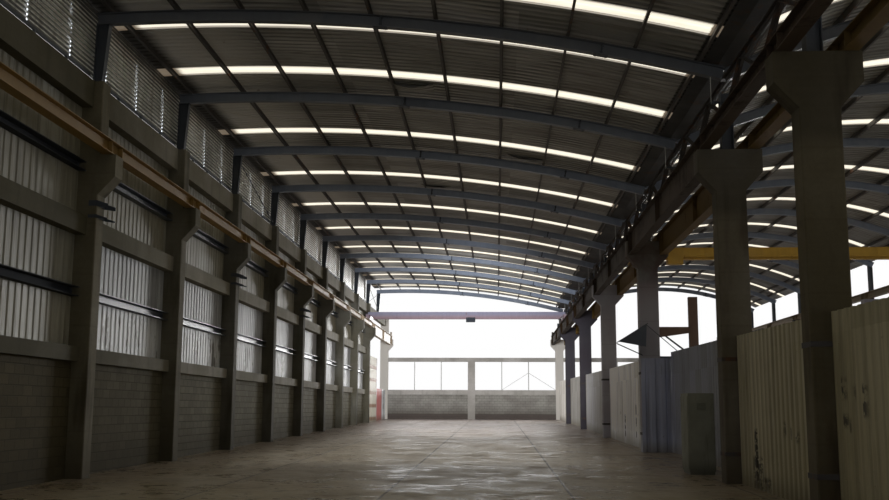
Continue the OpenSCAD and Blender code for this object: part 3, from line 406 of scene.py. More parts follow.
def sheetFinish(name):
    main, pale, streaked, rusted, wide, worn = sheets[name]
    f = Finish(name)
    lap = f.chance(((f.x * 0.37 + f.y) / wide).floor(), (f.z / 2.7).floor())
    streak = f.noise(1.0, 5, 0.62, (7, 7, 0.30), (5, 2, 3))
    thin = f.noise(1.0, 3, 0.6, (24, 24, 0.8), (1, 7, 3))
    cloud = f.noise(0.55, 4, 0.6, shift=(8, 2, 6))
    fine = f.noise(30, 3, 0.7)
    f.colour = f.mix((cloud * 0.6 + lap * 0.5).step(0.35, 0.85), main, pale)
    f.over(streak.step(0.46, 0.70) * worn * 1.3, streaked)
    f.over(thin.step(0.60, 0.78) * 0.45, streaked)
    if name == "wallSheet":
        # painted shade: the top row, high under the roof, is darker
        high = f.z.step(5.2, 5.4)
        f.scale(1 - high * 0.25)
        paintedDaylight = f.y.step(-24.3, -23.9) * (1 - high)  # painted daylight: past the third frame the lower sheets are whiter
        panel = f.chance((f.y / 0.93).floor(), (f.z / 3.95).floor())
        white = f.mix(panel, (0.44, 0.45, 0.46), (0.82, 0.85, 0.89))
        white = f.mix(thin.step(0.56, 0.72) * 0.6, white, (0.30, 0.29, 0.26))
        tear = f.noise(1.0, 5, 0.7, (1.1, 1.1, 0.34), (6, 5, 9)).step(0.55, 0.60)
        white = f.mix(tear * (1 - f.z.step(3.6, 4.1)) * 0.85, white, (0.13, 0.12, 0.10))
        # painted daylight over the sheets' own tones, streaks and tears, brightest low down
        f.over(paintedDaylight * 0.9, f.tone(white, 1.25 - f.z.step(2.5, 5.2) * 0.45))
        # painted shade: all but the top row a little darker, and more above the rail
        f.scale(1 - (0.12 + f.z.step(3.85, 4.0) * 0.20) * (1 - high))
        # red and cream panels in the last two bays
        red = f.y.between(29.9, 30.05, 33.2, 33.4) * (1 - f.x.step(leftX + 1, leftX + 1.2))
        f.over(red * (0.75 + cloud * 0.25), (0.62, 0.17, 0.16))
        cream = f.y.between(24.0, 24.2, 29.7, 29.9)
        f.over(cream * 0.8, f.mix(f.z.line(0.9, 0.06, 0.12), (0.78, 0.74, 0.62), (0.36, 0.20, 0.11)))
    else:
        dent = f.noise(2.4, 4, 0.6, (1, 1, 0.7), (3, 3, 1)).step(0.66, 0.72) * (1 - f.z.step(1.4, 2.2))
        f.over(dent * 0.6, streaked)
        # painted shade: dark lines at half the ribs' pitch for the narrow ribs
        f.over(f.y.line(0.14, 0.006, 0.016) * 0.30, streaked)
        # painted light: paler and bluer further along, for the haze and daylight at the open end
        f.colour = f.mix(f.y.step(-30, -2), f.tone(f.colour, 1.2), f.tint((2.6, 2.9, 4.7)))
        darker = f.y.step(-1, 1) * 0.40 + f.y.step(11.9, 12.1) * 0.24 - f.y.step(23.9, 24.1) * 0.40
        f.scale(1 - darker)  # by bays
        f.colour = f.tint(f.mix(f.y.step(11, 12), (1, 1, 1), (1.0, 0.95, 0.84)))
        recess = f.y.between(-24.1, -23.9, -12.1, -11.9)  # painted shade in the recess beside the cabinet
        f.over(recess * 0.85, f.tint((0.34, 0.38, 0.56)))
        ragged = f.noise(7, 4, 0.7, shift=(2, 2, 6)).step(0.40, 0.52)
        for y, z, long, tall in marks:
            f.over(f.mark(y, z, long * 0.7, tall * 0.8) * ragged * 0.9, (0.022, 0.019, 0.014))
    rust = f.noise(1.9, 5, 0.68, (1.4, 1.4, 0.5), (9, 4, 2)).step(0.66, 0.76)
    f.over(rust * 0.8, f.tone(rusted, 0.6 + fine * 0.8))
    dirt = 1 - f.overFloor().step(0.0, 0.25 + cloud * 0.5)
    f.over(dirt * 0.6, streaked)
    return f.surface(0.48 + streak * 0.2 + rust * 0.25, fine * 0.15 + cloud * 1.2 + rust * 0.3, 0.004)


louvreLook = {"lapStart": 0.72, "lap": 2.0, "foot": 0.12, "pitch": 0.10}


def louvreFinish():
    f = Finish("louvreSheet")
    cloud = f.noise(0.8, 4, 0.6, shift=(2, 3, 5))
    streak = f.noise(1.0, 4, 0.6, (5, 5, 0.4), (2, 8, 1))
    fine = f.noise(30, 3, 0.7)
    laps = (f.y - louvreLook["lapStart"]) / louvreLook["lap"]
    slats = (f.z - hall["wallTop"] - louvreLook["foot"]) / louvreLook["pitch"]
    f.colour = f.mix(cloud.step(0.35, 0.7), (0.46, 0.455, 0.425), (0.70, 0.695, 0.66))
    f.scale(0.80 + f.chance(laps.floor(), 3.0) * 0.40)
    f.over(streak.step(0.5, 0.72) * 0.5, (0.13, 0.105, 0.08))
    crestHighlight = slats.part().near(0.67, 0.12, 0.12)  # painted highlights on the crests and painted shade in the troughs
    # painted light: the slats are also lighter further along
    f.scale((0.30 + crestHighlight * 1.35) * (1 + f.y.step(-12, 6) * 0.45))
    place = laps + 0.5  # daylight through the fixing holes at each lap of the sheets
    rib = slats + 0.35
    chance = f.chance(place.floor(), rib.floor())
    reach = 0.033 - (f.z - 8.78) * 0.009 + chance * 0.006
    away = ((place.part() - 0.5) * louvreLook["lap"]) ** 2 + ((rib.part() - 0.5) * louvreLook["pitch"]) ** 2
    dot = (1 - (away ** 0.5 / reach).step(0.55, 1.0)) * chance.step(0.08, 0.12)
    inside = f.z.between(8.79, 8.80, 10.02, 10.06)
    return f.surface(0.42 + fine * 0.12, cloud, 0.003, metal=0.35,
                     glow=f.mix(dot * inside, (0, 0, 0), (0.86, 0.92, 1.0)), glowLevel=2.4)


roofLook = {"rib": [(0, 0), (0.62, 0), (0.72, 1), (0.90, 1)], "pitch": 0.25, "thick": 0.004, "depth": 0.030,
            "shade": (0.27, 0.27, 0.25), "pale": (0.44, 0.435, 0.42),
            "soot": (0.16, 0.138, 0.108), "top": (0.42, 0.41, 0.38)}


def roofFinish():
    f = Finish("roofSheet")
    lap = f.chance((f.y / 0.75).floor(), (f.x / 4.4).floor())
    cloud = f.noise(0.5, 5, 0.62, shift=(4, 4, 4))
    streak = f.noise(1.0, 4, 0.62, (0.5, 4.5, 0.5), (6, 1, 2))  # stains that run down the slope
    fine = f.noise(24, 3, 0.7)
    f.colour = f.mix((cloud * 0.7 + lap * 0.4).step(0.3, 0.85), roofLook["shade"], roofLook["pale"])
    f.over(streak.step(0.48, 0.70) * 0.55, roofLook["soot"])
    f.over(f.noise(0.22, 3, shift=(2, 7, 1)).step(0.55, 0.70) * 0.4, roofLook["soot"])
    ribLightWave = ((f.y / roofLook["pitch"] + f.noise(0.45, 3, shift=(7, 7, 7)) * 1.6).part() - 0.5).size() * 2
    ribLightPatch = f.noise(0.35, 3, shift=(1, 3, 9)).step(0.40, 0.55)  # painted highlights and shade of the ribs, as light and dark waves where they show
    f.scale(1 + (ribLightWave - 0.5) * ribLightPatch * 1.1)
    light = 1 - (f.x - leftX).step(1.2, 3.2)  # painted light, paler near the louvres
    f.over(light * 0.7, (0.85, 0.84, 0.80))
    # painted shade: near black in the corner and along the valley
    cornerDirtAndShade = 1 - (f.x - leftX).step(0.0, 0.25 + cloud * 0.5)
    valley = 1 - f.x.size().step(0.56, 0.60)
    f.over(cornerDirtAndShade.most(valley) * 0.96, (0.016, 0.013, 0.010))
    f.over(f.up.step(0.2, 0.6) * 0.7, roofLook["top"])
    rust = f.noise(2.1, 5, 0.68, shift=(9, 9, 2)).step(0.66, 0.74)
    f.over(rust * 0.6, (0.16, 0.075, 0.035))
    return f.surface(0.50 + streak * 0.2, fine * 0.15 + cloud, 0.004)


# Where the skylight strips start in each bay, and their width
roofStrips, stripWide = (0.74, 4.13), 0.62


def stripFinish():
    f = Finish("skylightSheet")
    cloud = f.noise(0.9, 4, 0.6, shift=(3, 6, 2))
    dirt = f.noise(1.0, 4, 0.65, (0.7, 6, 0.7), (5, 5, 1))
    f.colour = f.mix(dirt.step(0.50, 0.80) * 0.35, (0.92, 0.86, 0.71), (0.52, 0.46, 0.33))
    f.over(cloud.step(0.55, 0.8) * 0.25, (0.72, 0.65, 0.51))
    edge = 1.0  # dirt along both laps of each strip
    for start in roofStrips:
        run = ((f.y + hall["bays"] / 2 * hall["bay"] - start) / hall["bay"]).part() * hall["bay"]
        away = (run - stripWide / 2).size()
        edge = away.step(stripWide / 2 - 0.09, stripWide / 2 - 0.03) * edge
    f.over(edge * 0.85, (0.20, 0.18, 0.16))
    # dirt and painted shade darken the strips at the end by the louvres and along the valley
    cornerDirtAndShade = 1 - (f.x - leftX).step(0.08, 0.2 + cloud * 0.2)
    valley = 1 - f.x.size().step(0.56, 0.60)
    f.over(cornerDirtAndShade.most(valley) * 0.96, (0.10, 0.075, 0.05))
    # the strips glow by themselves: painted daylight through them
    return f.surface(0.45, cloud, 0.002, glow=f.colour, glowLevel=1.1)


def gutterFinish():
    f = Finish("gutterSheet")
    cloud = f.noise(0.9, 5, 0.65, shift=(1, 6, 9))
    fine = f.noise(28, 3, 0.7)
    f.colour = f.mix(cloud.step(0.35, 0.7), (0.030, 0.030, 0.032), (0.060, 0.060, 0.058))
    f.over(f.noise(1.4, 5, 0.66).step(0.56, 0.66) * 0.7, (0.07, 0.035, 0.018))
    return f.surface(0.7 + fine * 0.15, fine * 0.3 + cloud, 0.003)


def cabinetFinish():
    f = Finish("cabinetPaint")
    cloud = f.noise(1.6, 4, 0.6, shift=(2, 2, 7))
    fine = f.noise(40, 3, 0.7)
    drip = f.noise(1.0, 4, 0.6, (9, 9, 0.7), (4, 1, 1))
    f.colour = f.mix(cloud.step(0.3, 0.75), (0.25, 0.260, 0.215), (0.36, 0.370, 0.32))
    f.over(drip.step(0.54, 0.72) * 0.5, (0.10, 0.09, 0.07))
    f.over(f.noise(7, 4, 0.7).step(0.68, 0.74) * 0.8, (0.13, 0.06, 0.03))
    foot = 1 - (f.z - hall["cabinetFoot"]).step(0.02, 0.25 + cloud * 0.3)
    f.over(foot * 0.6, (0.07, 0.06, 0.045))
    return f.surface(0.62 + fine * 0.12 + drip * 0.1, fine * 0.2 + cloud * 0.4, 0.0015, shine=0.35)


finishes = {name: concreteFinish(name) for name in concretes}
finishes |= {name: steelFinish(name) for name in steels}
finishes |= {name: sheetFinish(name) for name in sheets}
finishes |= {"blockwork": blockFinish("blockwork", 0.0), "paleBlockwork": blockFinish("paleBlockwork", 0.55),
             "floorConcrete": floorFinish(), "louvreSheet": louvreFinish(),
             "roofSheet": roofFinish(), "skylightSheet": stripFinish(), "gutterSheet": gutterFinish(),
             "cabinetPaint": cabinetFinish()}
print("finishes made", len(finishes))

nodeFinish = {
    "floorConcrete": ["floor_slab"],
    "columnConcrete": ["left_columns"],
    "darkConcrete": ["middle_columns", "right_columns"],
    "beamConcrete": ["left_dado_beams", "left_middle_beams", "left_top_beams"],
    "paleConcrete": ["far_coping", "far_upper_beams", "far_posts"],
    "blockwork": ["left_block_wall"],
    "paleBlockwork": ["far_block_wall"],
    "wallSheet": ["wall_sheets", "left_end_panels"],
    "hoardingSheet": ["hoarding_sheets"],
    "louvreSheet": ["louvre_band"],
    "railSteel": ["wall_rails"],
    "navySteel": ["first_crane_hoist", "louvre_posts", "column_clamps", "bracing_rods", "column_frame",
                  "left_stub_columns", "middle_stub_columns", "right_stub_columns"],
    "rafterSteel": ["first_nave_rafters", "second_nave_rafters"],
    "latticeSteel": ["middle_lattice_girder", "hoarding_rails"],
    "purlinSteel": ["first_nave_purlins", "second_nave_purlins"],
    "ochreSteel": ["left_crane_runway"],
    "dustyOchre": ["right_crane_runway"],
    "dullOchre": ["middle_right_crane_runway"],
    "rustySteel": ["middle_left_crane_runway"],
    "craneBrown": ["first_crane_beam", "first_crane_end_carriages"],
    "craneYellow": ["second_crane_beam", "second_crane_end_carriages", "second_crane_hoist"],
    "roofSheet": ["first_nave_roof_sheets", "second_nave_roof_sheets"],
    "skylightSheet": ["first_nave_skylights", "second_nave_skylights"],
    "gutterSheet": ["valley_gutter"],
    "paleSteel": ["far_braces"],
    "cabinetPaint": ["electrical_cabinet"],
}
for name, members in nodeFinish.items():
    for member in members:
        nodes[member].data.materials.clear()
        nodes[member].data.materials.append(finishes[name])
print("nodes finished", sum(len(members) for members in nodeFinish.values()))


# Meshes

def places(x, y, z):  # points from three measures, each a number or a row
    return np.stack(np.broadcast_arrays(x, y, z), -1)


def joined(parts):
    points, faces, start = [], [], 0
    for partPoints, partFaces in parts:
        points.append(partPoints)
        faces += [[k + start for k in face] for face in partFaces]
        start += len(partPoints)
    return np.concatenate(points), faces


def put(name, shape, finish, body="building", replaces=()):
    points, faces = shape
    mesh = bpy.data.meshes.new(name)
    mesh.from_pydata((points * model["scale"] + (0, 0, model["lift"])).tolist(), [], faces)
    work = bmesh.new()
    work.from_mesh(mesh)
    bmesh.ops.recalc_face_normals(work, faces=work.faces)
    work.to_mesh(mesh)
    work.free()
    mesh.materials.append(finishes[finish])
    piece = bpy.data.objects.new(name, mesh)
    bpy.context.scene.collection.objects.link(piece)
    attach(piece, body)
    if replaces:
        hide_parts(*replaces)
    print("made", name, len(faces))
    return piece


def unit(v):
    return v / np.linalg.norm(v, axis=-1, keepdims=True)


def bars(profile, starts, ends, up=(0, 0, 1)):
    # A closed profile is carried straight from each start to its end:
    # point = end of the bar + first measure * (direction x up) + second * (the part of up square to it)
    profile = np.asarray(profile, float)
    starts, ends = np.broadcast_arrays(np.reshape(starts, (-1, 3)), np.reshape(ends, (-1, 3)))
    along = unit(ends - starts)
    side = unit(np.cross(along, np.broadcast_to(up, along.shape)))
    over = np.cross(side, along)
    ring = side[:, None] * profile[:, 0, None] + over[:, None] * profile[:, 1, None]
    points = np.stack((starts[:, None] + ring, ends[:, None] + ring), 1)
    m = len(profile)
    i = np.arange(m)
    j = (i + 1) % m
    base = np.arange(len(starts))[:, None, None] * 2 * m
    walls = base + np.stack((i, j, j + m, i + m), 1)
    caps = base + np.stack((i[::-1], i + m))
    return points.reshape(-1, 3), walls.reshape(-1, 4).tolist() + caps.reshape(-1, m).tolist()


def plate(w, h):
    return [[-w / 2, -h / 2], [w / 2, -h / 2], [w / 2, h / 2], [-w / 2, h / 2]]


def ring(radius, n):
    a = np.arange(n) * 2 * np.pi / n
    return np.stack((np.cos(a), np.sin(a)), 1) * radius


def angleBar(leg, thick):
    return np.array([[0, 0], [leg, 0], [leg, thick], [thick, thick], [thick, leg], [0, leg]])


def ribbed(length, use):
    # A closed outline of n whole ribs: (place in a pitch + rib's number) * length / n along, and over it
    # height * (depth - thickness), then back along the same line a thickness higher
    n = max(1, round(length / use["pitch"]))
    rib = np.array(use["rib"])
    along = np.append(rib[:, 0] + np.arange(n)[:, None], n) * length / n
    high = np.append(np.tile(rib[:, 1], n), 0) * (use["depth"] - use["thick"])
    return np.append(along, along[::-1]), np.append(high, high[::-1] + use["thick"])


def pins(radius, starts, way, up=(0, 1, 0), sides=6):  # bolts, rods and caps from their starts along a way
    return bars(ring(radius, sides), starts, starts + way, up)


def grid(*axes):
    return np.stack(np.meshgrid(*axes, indexing="ij"), -1).reshape(-1, len(axes))


# Roofs

class Arc:
    # An arc under the rafters' soffits: crown place, radius and centre height
    def __init__(self, crownX, radius, centreZ):
        self.crownX, self.radius, self.centreZ = crownX, radius, centreZ

    def at(self, angle, up, y):
        r = self.radius + up
        return places(self.crownX + r * np.sin(angle), y, self.centreZ + r * np.cos(angle))

    def angle(self, x):
        return np.arcsin(np.asarray(x, float) / self.radius)

    def soffit(self, x):
        return self.centreZ + np.sqrt(self.radius ** 2 - (x - self.crownX) ** 2)


def directions(angle):  # outwards from an arc, and along it towards the right
    return places(np.sin(angle), 0, np.cos(angle)), places(np.cos(angle), 0, -np.sin(angle))


roof = {"gap": 0.001, "rafter": 0.26, "purlin": 0.14, "purlinWide": 0.06, "cover": 0.03, "pitch": 1.435,
        "first": 0.05, "crown": 1.84, "radius": 45.9, "rise": 1.58, "valleyGap": 0.435, "lap": 0.30,
        "back": 0.45, "leastPitch": 0.3, "flange": 0.016, "web": 0.012, "rafterWide": 0.18}


def trimmed(x, r, h):  # place on an arc of radius r under the point at x that lies h further out
    return x * r / (r + h)


# Both roofs' rafters end over the same stubs. The second arc's radius follows from its rise and its half
# width, which the radius trims in turn
firstSpan = hall["nave"] + middleX
firstEnd = trimmed(firstSpan - roof["gap"] - roof["crown"], roof["radius"], roof["rafter"])
firstArc = Arc(leftX + roof["crown"], roof["radius"],
               hall["valley"] - math.sqrt(roof["radius"] ** 2 - firstEnd ** 2))
secondTop = (hall["nave"] + hall["columnX"]) / 2 - roof["gap"]
half = secondTop
for _ in range(6):
    secondRadius = (half ** 2 + roof["rise"] ** 2) / (2 * roof["rise"])
    half = trimmed(secondTop, secondRadius, roof["rafter"])
secondRadius = (half ** 2 + roof["rise"] ** 2) / (2 * roof["rise"])
secondArc = Arc((middleX + rightX) / 2, secondRadius, hall["valley"] + roof["rise"] - secondRadius)
purlinTop = roof["rafter"] + roof["purlin"]
coverUp = purlinTop + roof["cover"]
coverAngles = {
    "first": firstArc.angle([-roof["back"] - roof["crown"],
                             trimmed(firstSpan - roof["lap"] - roof["crown"], roof["radius"], coverUp)]),
    "second": secondArc.angle([-trimmed(secondTop - roof["lap"], secondRadius, coverUp), half]),
}
arcs = {"first": firstArc, "second": secondArc}
arcSteps = {"first": 24, "second": 40}

stripStarts = np.sort((frameY(np.arange(hall["roofBays"]))[:, None] + roofStrips).ravel())
sheetSpans = list(zip([frameY(0), *(stripStarts + stripWide)], [*stripStarts, frameY(hall["roofBays"])]))
stripSpans = [(start, start + stripWide) for start in stripStarts]


def ribbedRoof(arc, angles, spans, steps):
    # Along the hall each sheet has ribs. Across it a point is
    # the arc's centre + (soffit radius + height of the rib) * the direction at its angle
    parts = []
    angle = np.linspace(*angles, steps + 1)[:, None]
    for y0, y1 in spans:
        along, high = ribbed(y1 - y0 - roof["gap"], roofLook)
        points = arc.at(angle, high + purlinTop, along + y0 + roof["gap"] / 2)
        m = len(along)
        row, col = np.arange(steps)[:, None] * m, np.arange(m)
        after = (col + 1) % m
        walls = np.stack((row + col, row + after, row + m + after, row + m + col), -1).reshape(-1, 4)
        k = np.arange(m // 2 - 1)
        cap = np.stack((k, k + 1, m - 2 - k, m - 1 - k), 1)
        parts.append((points.reshape(-1, 3), np.concatenate((walls, cap, cap + steps * m)).tolist()))
    return joined(parts)


for nave, arc in arcs.items():
    put(nave + "RoofSheets", ribbedRoof(arc, coverAngles[nave], sheetSpans, arcSteps[nave]),
        "roofSheet", replaces=[nave + "_nave_roof_sheets"])
    put(nave + "Skylights", ribbedRoof(arc, coverAngles[nave], stripSpans, arcSteps[nave]),
        "skylightSheet", replaces=[nave + "_nave_skylights"])

# Purlins' places, measured at the soffit from each crown: even rows, and one more along each eaves
eaves = roof["valleyGap"] + roof["purlinWide"]
firstEaves = trimmed(firstSpan - roof["crown"] - eaves, roof["radius"], purlinTop)
secondEaves = trimmed(secondTop - eaves, secondRadius, purlinTop)
least = roof["leastPitch"] * roof["pitch"]
firstRows = np.arange(roof["first"] - roof["crown"], firstEaves - least, roof["pitch"])
sideRows = math.floor((secondEaves - least) / roof["pitch"])
secondRows = np.arange(-sideRows, sideRows + 1) * roof["pitch"]
purlinX = {"first": [*firstRows, firstEaves], "second": [-secondEaves, *secondRows, secondEaves]}
rafterY = frameY(np.arange(hall["roofBays"] + 1))

cleat = {"leg": 0.08, "high": 0.10, "thick": 0.008, "long": 0.11, "bolt": 0.013, "head": 0.012,
         "pinUp": 0.6}


def purlinCleats(nave):
    # An angle on each rafter against each purlin's web, and a bolt through each leg
    arc = arcs[nave]
    a, y = grid(arc.angle(purlinX[nave]), rafterY).T
    out, slope = directions(a)
    top = arc.at(a, roof["rafter"], y)
    web, leg, t, h = -roof["purlinWide"] / 2, cleat["leg"], cleat["thick"], cleat["high"]
    angle = [[web - leg, 0], [web, 0], [web, h], [web - t, h], [web - t, t], [web - leg, t]]
    half = np.array([0, cleat["long"] / 2, 0])
    bolt = top + slope * (web - leg / 2)
    pin = top + slope * (web - t) + out * (h * cleat["pinUp"])
    return joined([bars(angle, top - half, top + half, out),
                   pins(cleat["bolt"], bolt + out * t, out * cleat["head"]),
                   pins(cleat["bolt"], pin, -slope * cleat["head"])])


for nave in arcs:
    put(nave + "PurlinCleats", purlinCleats(nave), "purlinSteel")

splice = {"x": {"first": (4.2, 9.0), "second": (-3.4, 3.4)}, "thick": 0.02, "under": 0.012, "reach": 0.16,
          "bolt": 0.016, "head": 0.014, "boltAlong": 0.11, "boltAcross": 0.055,
          "boltUp": 0.3}


def rafterSplices(nave):
    # End plates on both sides of each rafter joint and a cover plate under it, with their bolts
    arc = arcs[nave]
    h, wide, thick = roof["rafter"], roof["rafterWide"], splice["thick"]
    a, y = grid(arc.angle(splice["x"][nave]), rafterY).T
    out, slope = directions(a)
    centre = arc.at(a, h / 2, y)
    inner = h - 2 * roof["flange"]
    halfWeb, room = roof["web"] / 2, (wide - roof["web"]) / 2
    parts = []
    for side in (-1, 1):  # a plate on both sides of the web, inside the flanges
        middle = centre + np.array([0, side * (halfWeb + room / 2), 0])
        parts.append(bars(plate(room, inner), middle - slope * thick, middle + slope * thick, out))
        for up in (-splice["boltUp"], splice["boltUp"]):
            spot = middle + out * (inner * up)
            bolt = slope * (thick + splice["head"])
            parts.append(pins(splice["bolt"], spot - bolt, bolt * 2))
    under = arc.at(a, -splice["under"] / 2, y)
    parts.append(bars(plate(wide, splice["under"]), under - slope * splice["reach"],
                      under + slope * splice["reach"], out))
    for along, across in grid((-1, 1), (-1, 1)) * (splice["boltAlong"], splice["boltAcross"]):
        spot = arc.at(a, -splice["under"], y + across) + slope * along
        parts.append(pins(splice["bolt"], spot, -out * splice["head"]))
    return joined(parts)


for nave in arcs:
    put(nave + "RafterSplices", rafterSplices(nave), "navySteel")

# Struts, stubs and the lattice girder over the middle row

strut = {"x": -0.30, "back": -0.02, "low": 8.06, "wide": 0.05, "thick": 0.008, "foot": 0.006, "bolt": 0.014}


def valleyStruts():
    # A flat hanger from each rafter's soffit
    top = places(strut["x"], rafterY, firstArc.soffit(strut["x"]))
    low = places(strut["x"], rafterY, strut["low"])
    return bars(plate(strut["wide"], strut["thick"]), top, low, (1, 0, 0))


def valleyStrutFeet():
    # An angle from each hanger's foot back to the valley beam, and a bolt
    low = places(strut["x"], rafterY, strut["low"])
    back = places(strut["back"], rafterY, strut["low"])
    return joined([bars(angleBar(strut["wide"], strut["foot"]), low, back),
                   pins(strut["bolt"], low + (-0.012, 0, 0.02), (0.028, 0, 0), (0, 0, 1))])


# the hangers' pale paint is partly a painted glint of daylight
put("valleyStruts", valleyStruts(), "paleSteel")
put("valleyStrutFeet", valleyStrutFeet(), "navySteel")

# Bolts of the stub columns' base plates: X and height of each pair, how far off the frame's line they are,
# and the radius, height and sides of the nuts and the rods
stub = {"spots": [(leftX - 0.27, 8.676), (leftX - 0.13, 8.676), (rightX + 0.06, 7.026),
                  (rightX + 0.15, 7.026)], "off": 0.105, "bolt": [(0.020, 0.018, 6), (0.010, 0.045, 8)]}


def stubBolts():
    # Four anchor nuts and their rods on each base plate
    spots = np.concatenate([places(x, rafterY + off, z) for off in (-stub["off"], stub["off"])
                            for x, z in stub["spots"]])
    return joined([pins(radius, spots, (0, 0, high), sides=sides) for radius, high, sides in stub["bolt"]])


put("stubBolts", stubBolts(), "latticeSteel")

lattice = {"high": 7.85, "top": 8.588, "perBay": 4, "stub": 0.25, "leg": 0.075, "thick": 0.009,
           "plate": 0.010, "lowNode": 0.03, "topNode": 0.05, "lacing": 0.8,
           "lowPlate": [(-0.24, -0.07), (0.24, -0.07), (0.14, 0.17), (-0.14, 0.17)],
           "topPlate": [(-0.20, 0.04), (0.20, 0.04), (0.12, -0.15), (-0.12, -0.15)]}


def latticeGirder():
    # Paired angles back to back on gusset plates: two chords along the hall and a zigzag between them
    leg, gap = lattice["leg"], lattice["plate"] / 2
    angle = angleBar(leg, lattice["thick"])
    parts = []
    for a, b in zip(headFrames[:-1], headFrames[1:]):
        y0, y1 = frameY(a) + lattice["stub"] / 2, frameY(b) - lattice["stub"] / 2
        n = lattice["perBay"] * (b - a)
        y = np.linspace(y0, y1, n + 1)
        low, top = lattice["high"] - lattice["lowNode"], lattice["top"] - lattice["topNode"]
        node = places(0, y, np.where(np.arange(n + 1) % 2 == 0, low, top))
        for side in (-1, 1):
            at = np.array([side * gap, 0, 0])
            profile = angle * (side, 1)
            for level, flip in ((lattice["high"] - leg, 1), (lattice["top"], -1)):
                parts.append(bars(profile * (1, flip), at + (0, y0, level), at + (0, y1, level)))
            parts.append(bars(profile * lattice["lacing"], node[:-1] + at, node[1:] + at))
        for spots, shape in ((node[2:-1:2], lattice["lowPlate"]), (node[1::2], lattice["topPlate"])):
            parts.append(bars(shape, spots - (gap, 0, 0), spots + (gap, 0, 0)))
    return joined(parts)


put("latticeGirder", latticeGirder(), "latticeSteel", replaces=["middle_lattice_girder"])

# Wall and louvre sheets

wall = {"rows": ((2.550, 5.4515), (5.4525, 8.660)), "bays": 10, "back": 0.450,
        "rib": [(0, 0), (0.35, 0), (0.5, 1), (0.85, 1)], "pitch": 0.28, "depth": 0.020, "thick": 0.004}


def wallSheets():
    # Two rows of sheets a bay: an outline of ribs along the hall, carried upwards
    parts = []
    for low, high in wall["rows"]:
        for frame in range(wall["bays"]):
            y0, y1 = frameY(frame) + hall["columnY"] / 2, frameY(frame + 1) - hall["columnY"] / 2
            along, out = ribbed(y1 - y0, wall)
            foot = np.array([leftX - wall["back"], y0, low])
            parts.append(bars(np.stack((along, -out), 1), foot, foot + (0, 0, high - low), (1, 0, 0)))
    return joined(parts)


put("wallSheets", wallSheets(), "wallSheet", replaces=["wall_sheets"])

louvreTop = {"x": -13.81, "z": 10.13, "top": 10.40, "bays": 10, "gap": 0.001,
             "rib": [(0, 0), (0.30, 0), (0.45, 1), (0.85, 1)], "pitch": 0.10, "depth": 0.040, "thick": 0.008}


def louvreTopSheets():
    # The louvres' ribs go on upwards to the roof: an outline in X and Z carried along each bay
    up, out = ribbed(louvreTop["top"] - louvreTop["z"], louvreTop)
    y = frameY(np.arange(louvreTop["bays"]))
    start = places(louvreTop["x"], y + louvreTop["gap"], louvreTop["z"])
    return bars(np.stack((-out, up), 1), start, start + (0, hall["bay"] - 2 * louvreTop["gap"], 0))


put("louvreTopSheets", louvreTopSheets(), "louvreSheet")

# Crane runways

runway = {"railIn": 0.19, "high": 0.29, "longHigh": 0.74, "wide": 0.25, "flange": 0.016, "web": 0.012,
          "rail": 0.06, "rib": 6.0, "ribThick": 0.010, "ribBack": 0.008, "end": 0.30, "clip": 0.75,
          "clipFrom": 0.4, "clipTo": 0.3, "clipLong": 0.06, "clipBolt": 0.011,
          "clipShape": [(0, 0), (0.07, 0), (0.07, 0.012), (0.012, 0.026), (0, 0.022)]}
runways = {
    "leftRunway": (leftX + runway["railIn"], wallFrames, "ochreSteel", "ochre_steel"),
    "middleLeftRunway": (-middleX - runway["railIn"], headFrames, "rustySteel", "rusty_steel"),
    "middleRightRunway": (middleX + runway["railIn"], headFrames, "dullOchre", "ochre_steel"),
    "rightRunway": (rightX - runway["railIn"], list(range(13)), "dustyOchre", "ochre_steel"),
}


def runwayRibs(x, frames):
    # Upright ribs on both sides of each girder's web, and rail clips in pairs on its top flange
    top = hall["seat"] + runway["high"]
    reach = (runway["wide"] - runway["web"]) / 2 - runway["ribBack"]
    rows = []
    for a, b in zip(frames[:-1], frames[1:]):
        deep = runway["longHigh"] if b - a > 1 else runway["high"]
        y0, y1 = frameY(a) + runway["end"], frameY(b) - runway["end"]
        n = round((y1 - y0) / runway["rib"])
        rows += [(y, top - deep + runway["flange"]) for y in np.linspace(y0, y1, n + 1)]
    y, low = np.array(rows).T
    clipY = np.arange(frameY(frames[0]) + runway["clipFrom"], frameY(frames[-1]) - runway["clipTo"],
                      runway["clip"])
    parts = []
    for side in (-1, 1):
        ribX = x + side * (runway["web"] + reach) / 2
        parts.append(bars(plate(reach, runway["ribThick"]), places(ribX, y, low),
                          places(ribX, y, top - runway["flange"]), (0, 1, 0)))
        foot = places(x + side * runway["rail"] / 2, clipY - runway["clipLong"] / 2, top)
        shape = np.array(runway["clipShape"]) * (side, 1)
        parts.append(bars(shape, foot, foot + (0, runway["clipLong"], 0)))
        spot = foot + (side * 0.045, runway["clipLong"] / 2, 0.012)
        parts.append(pins(runway["clipBolt"], spot, (0, 0, 0.022)))
    return joined(parts)


for name, (x, frames, finish, slot) in runways.items():
    put(name + "Ribs", runwayRibs(x, frames), finish)

# Cranes

cranes = {
    "first": {"y": 22.0, "rails": (leftX + runway["railIn"], -middleX - runway["railIn"]),
              "finish": "craneBrown", "slot": "rusty_steel"},
    "second": {"y": -5.0, "rails": (middleX + runway["railIn"], rightX - runway["railIn"]),
               "finish": "craneYellow", "slot": "ochre_steel"},
}
bridge = {"low": 7.43, "high": 0.46, "wide": 0.30, "past": 0.06, "strip": (0.022, 0.014), "rib": 1.1,
          "ribSize": (0.016, 0.010), "groove": 0.15, "carriage": 0.18, "base": 2.0, "axle": 7.4756,
          "cap": (0.055, 0.016), "pin": (0.022, 0.0128), "ribFrom": 0.6, "ribTo": 0.5}


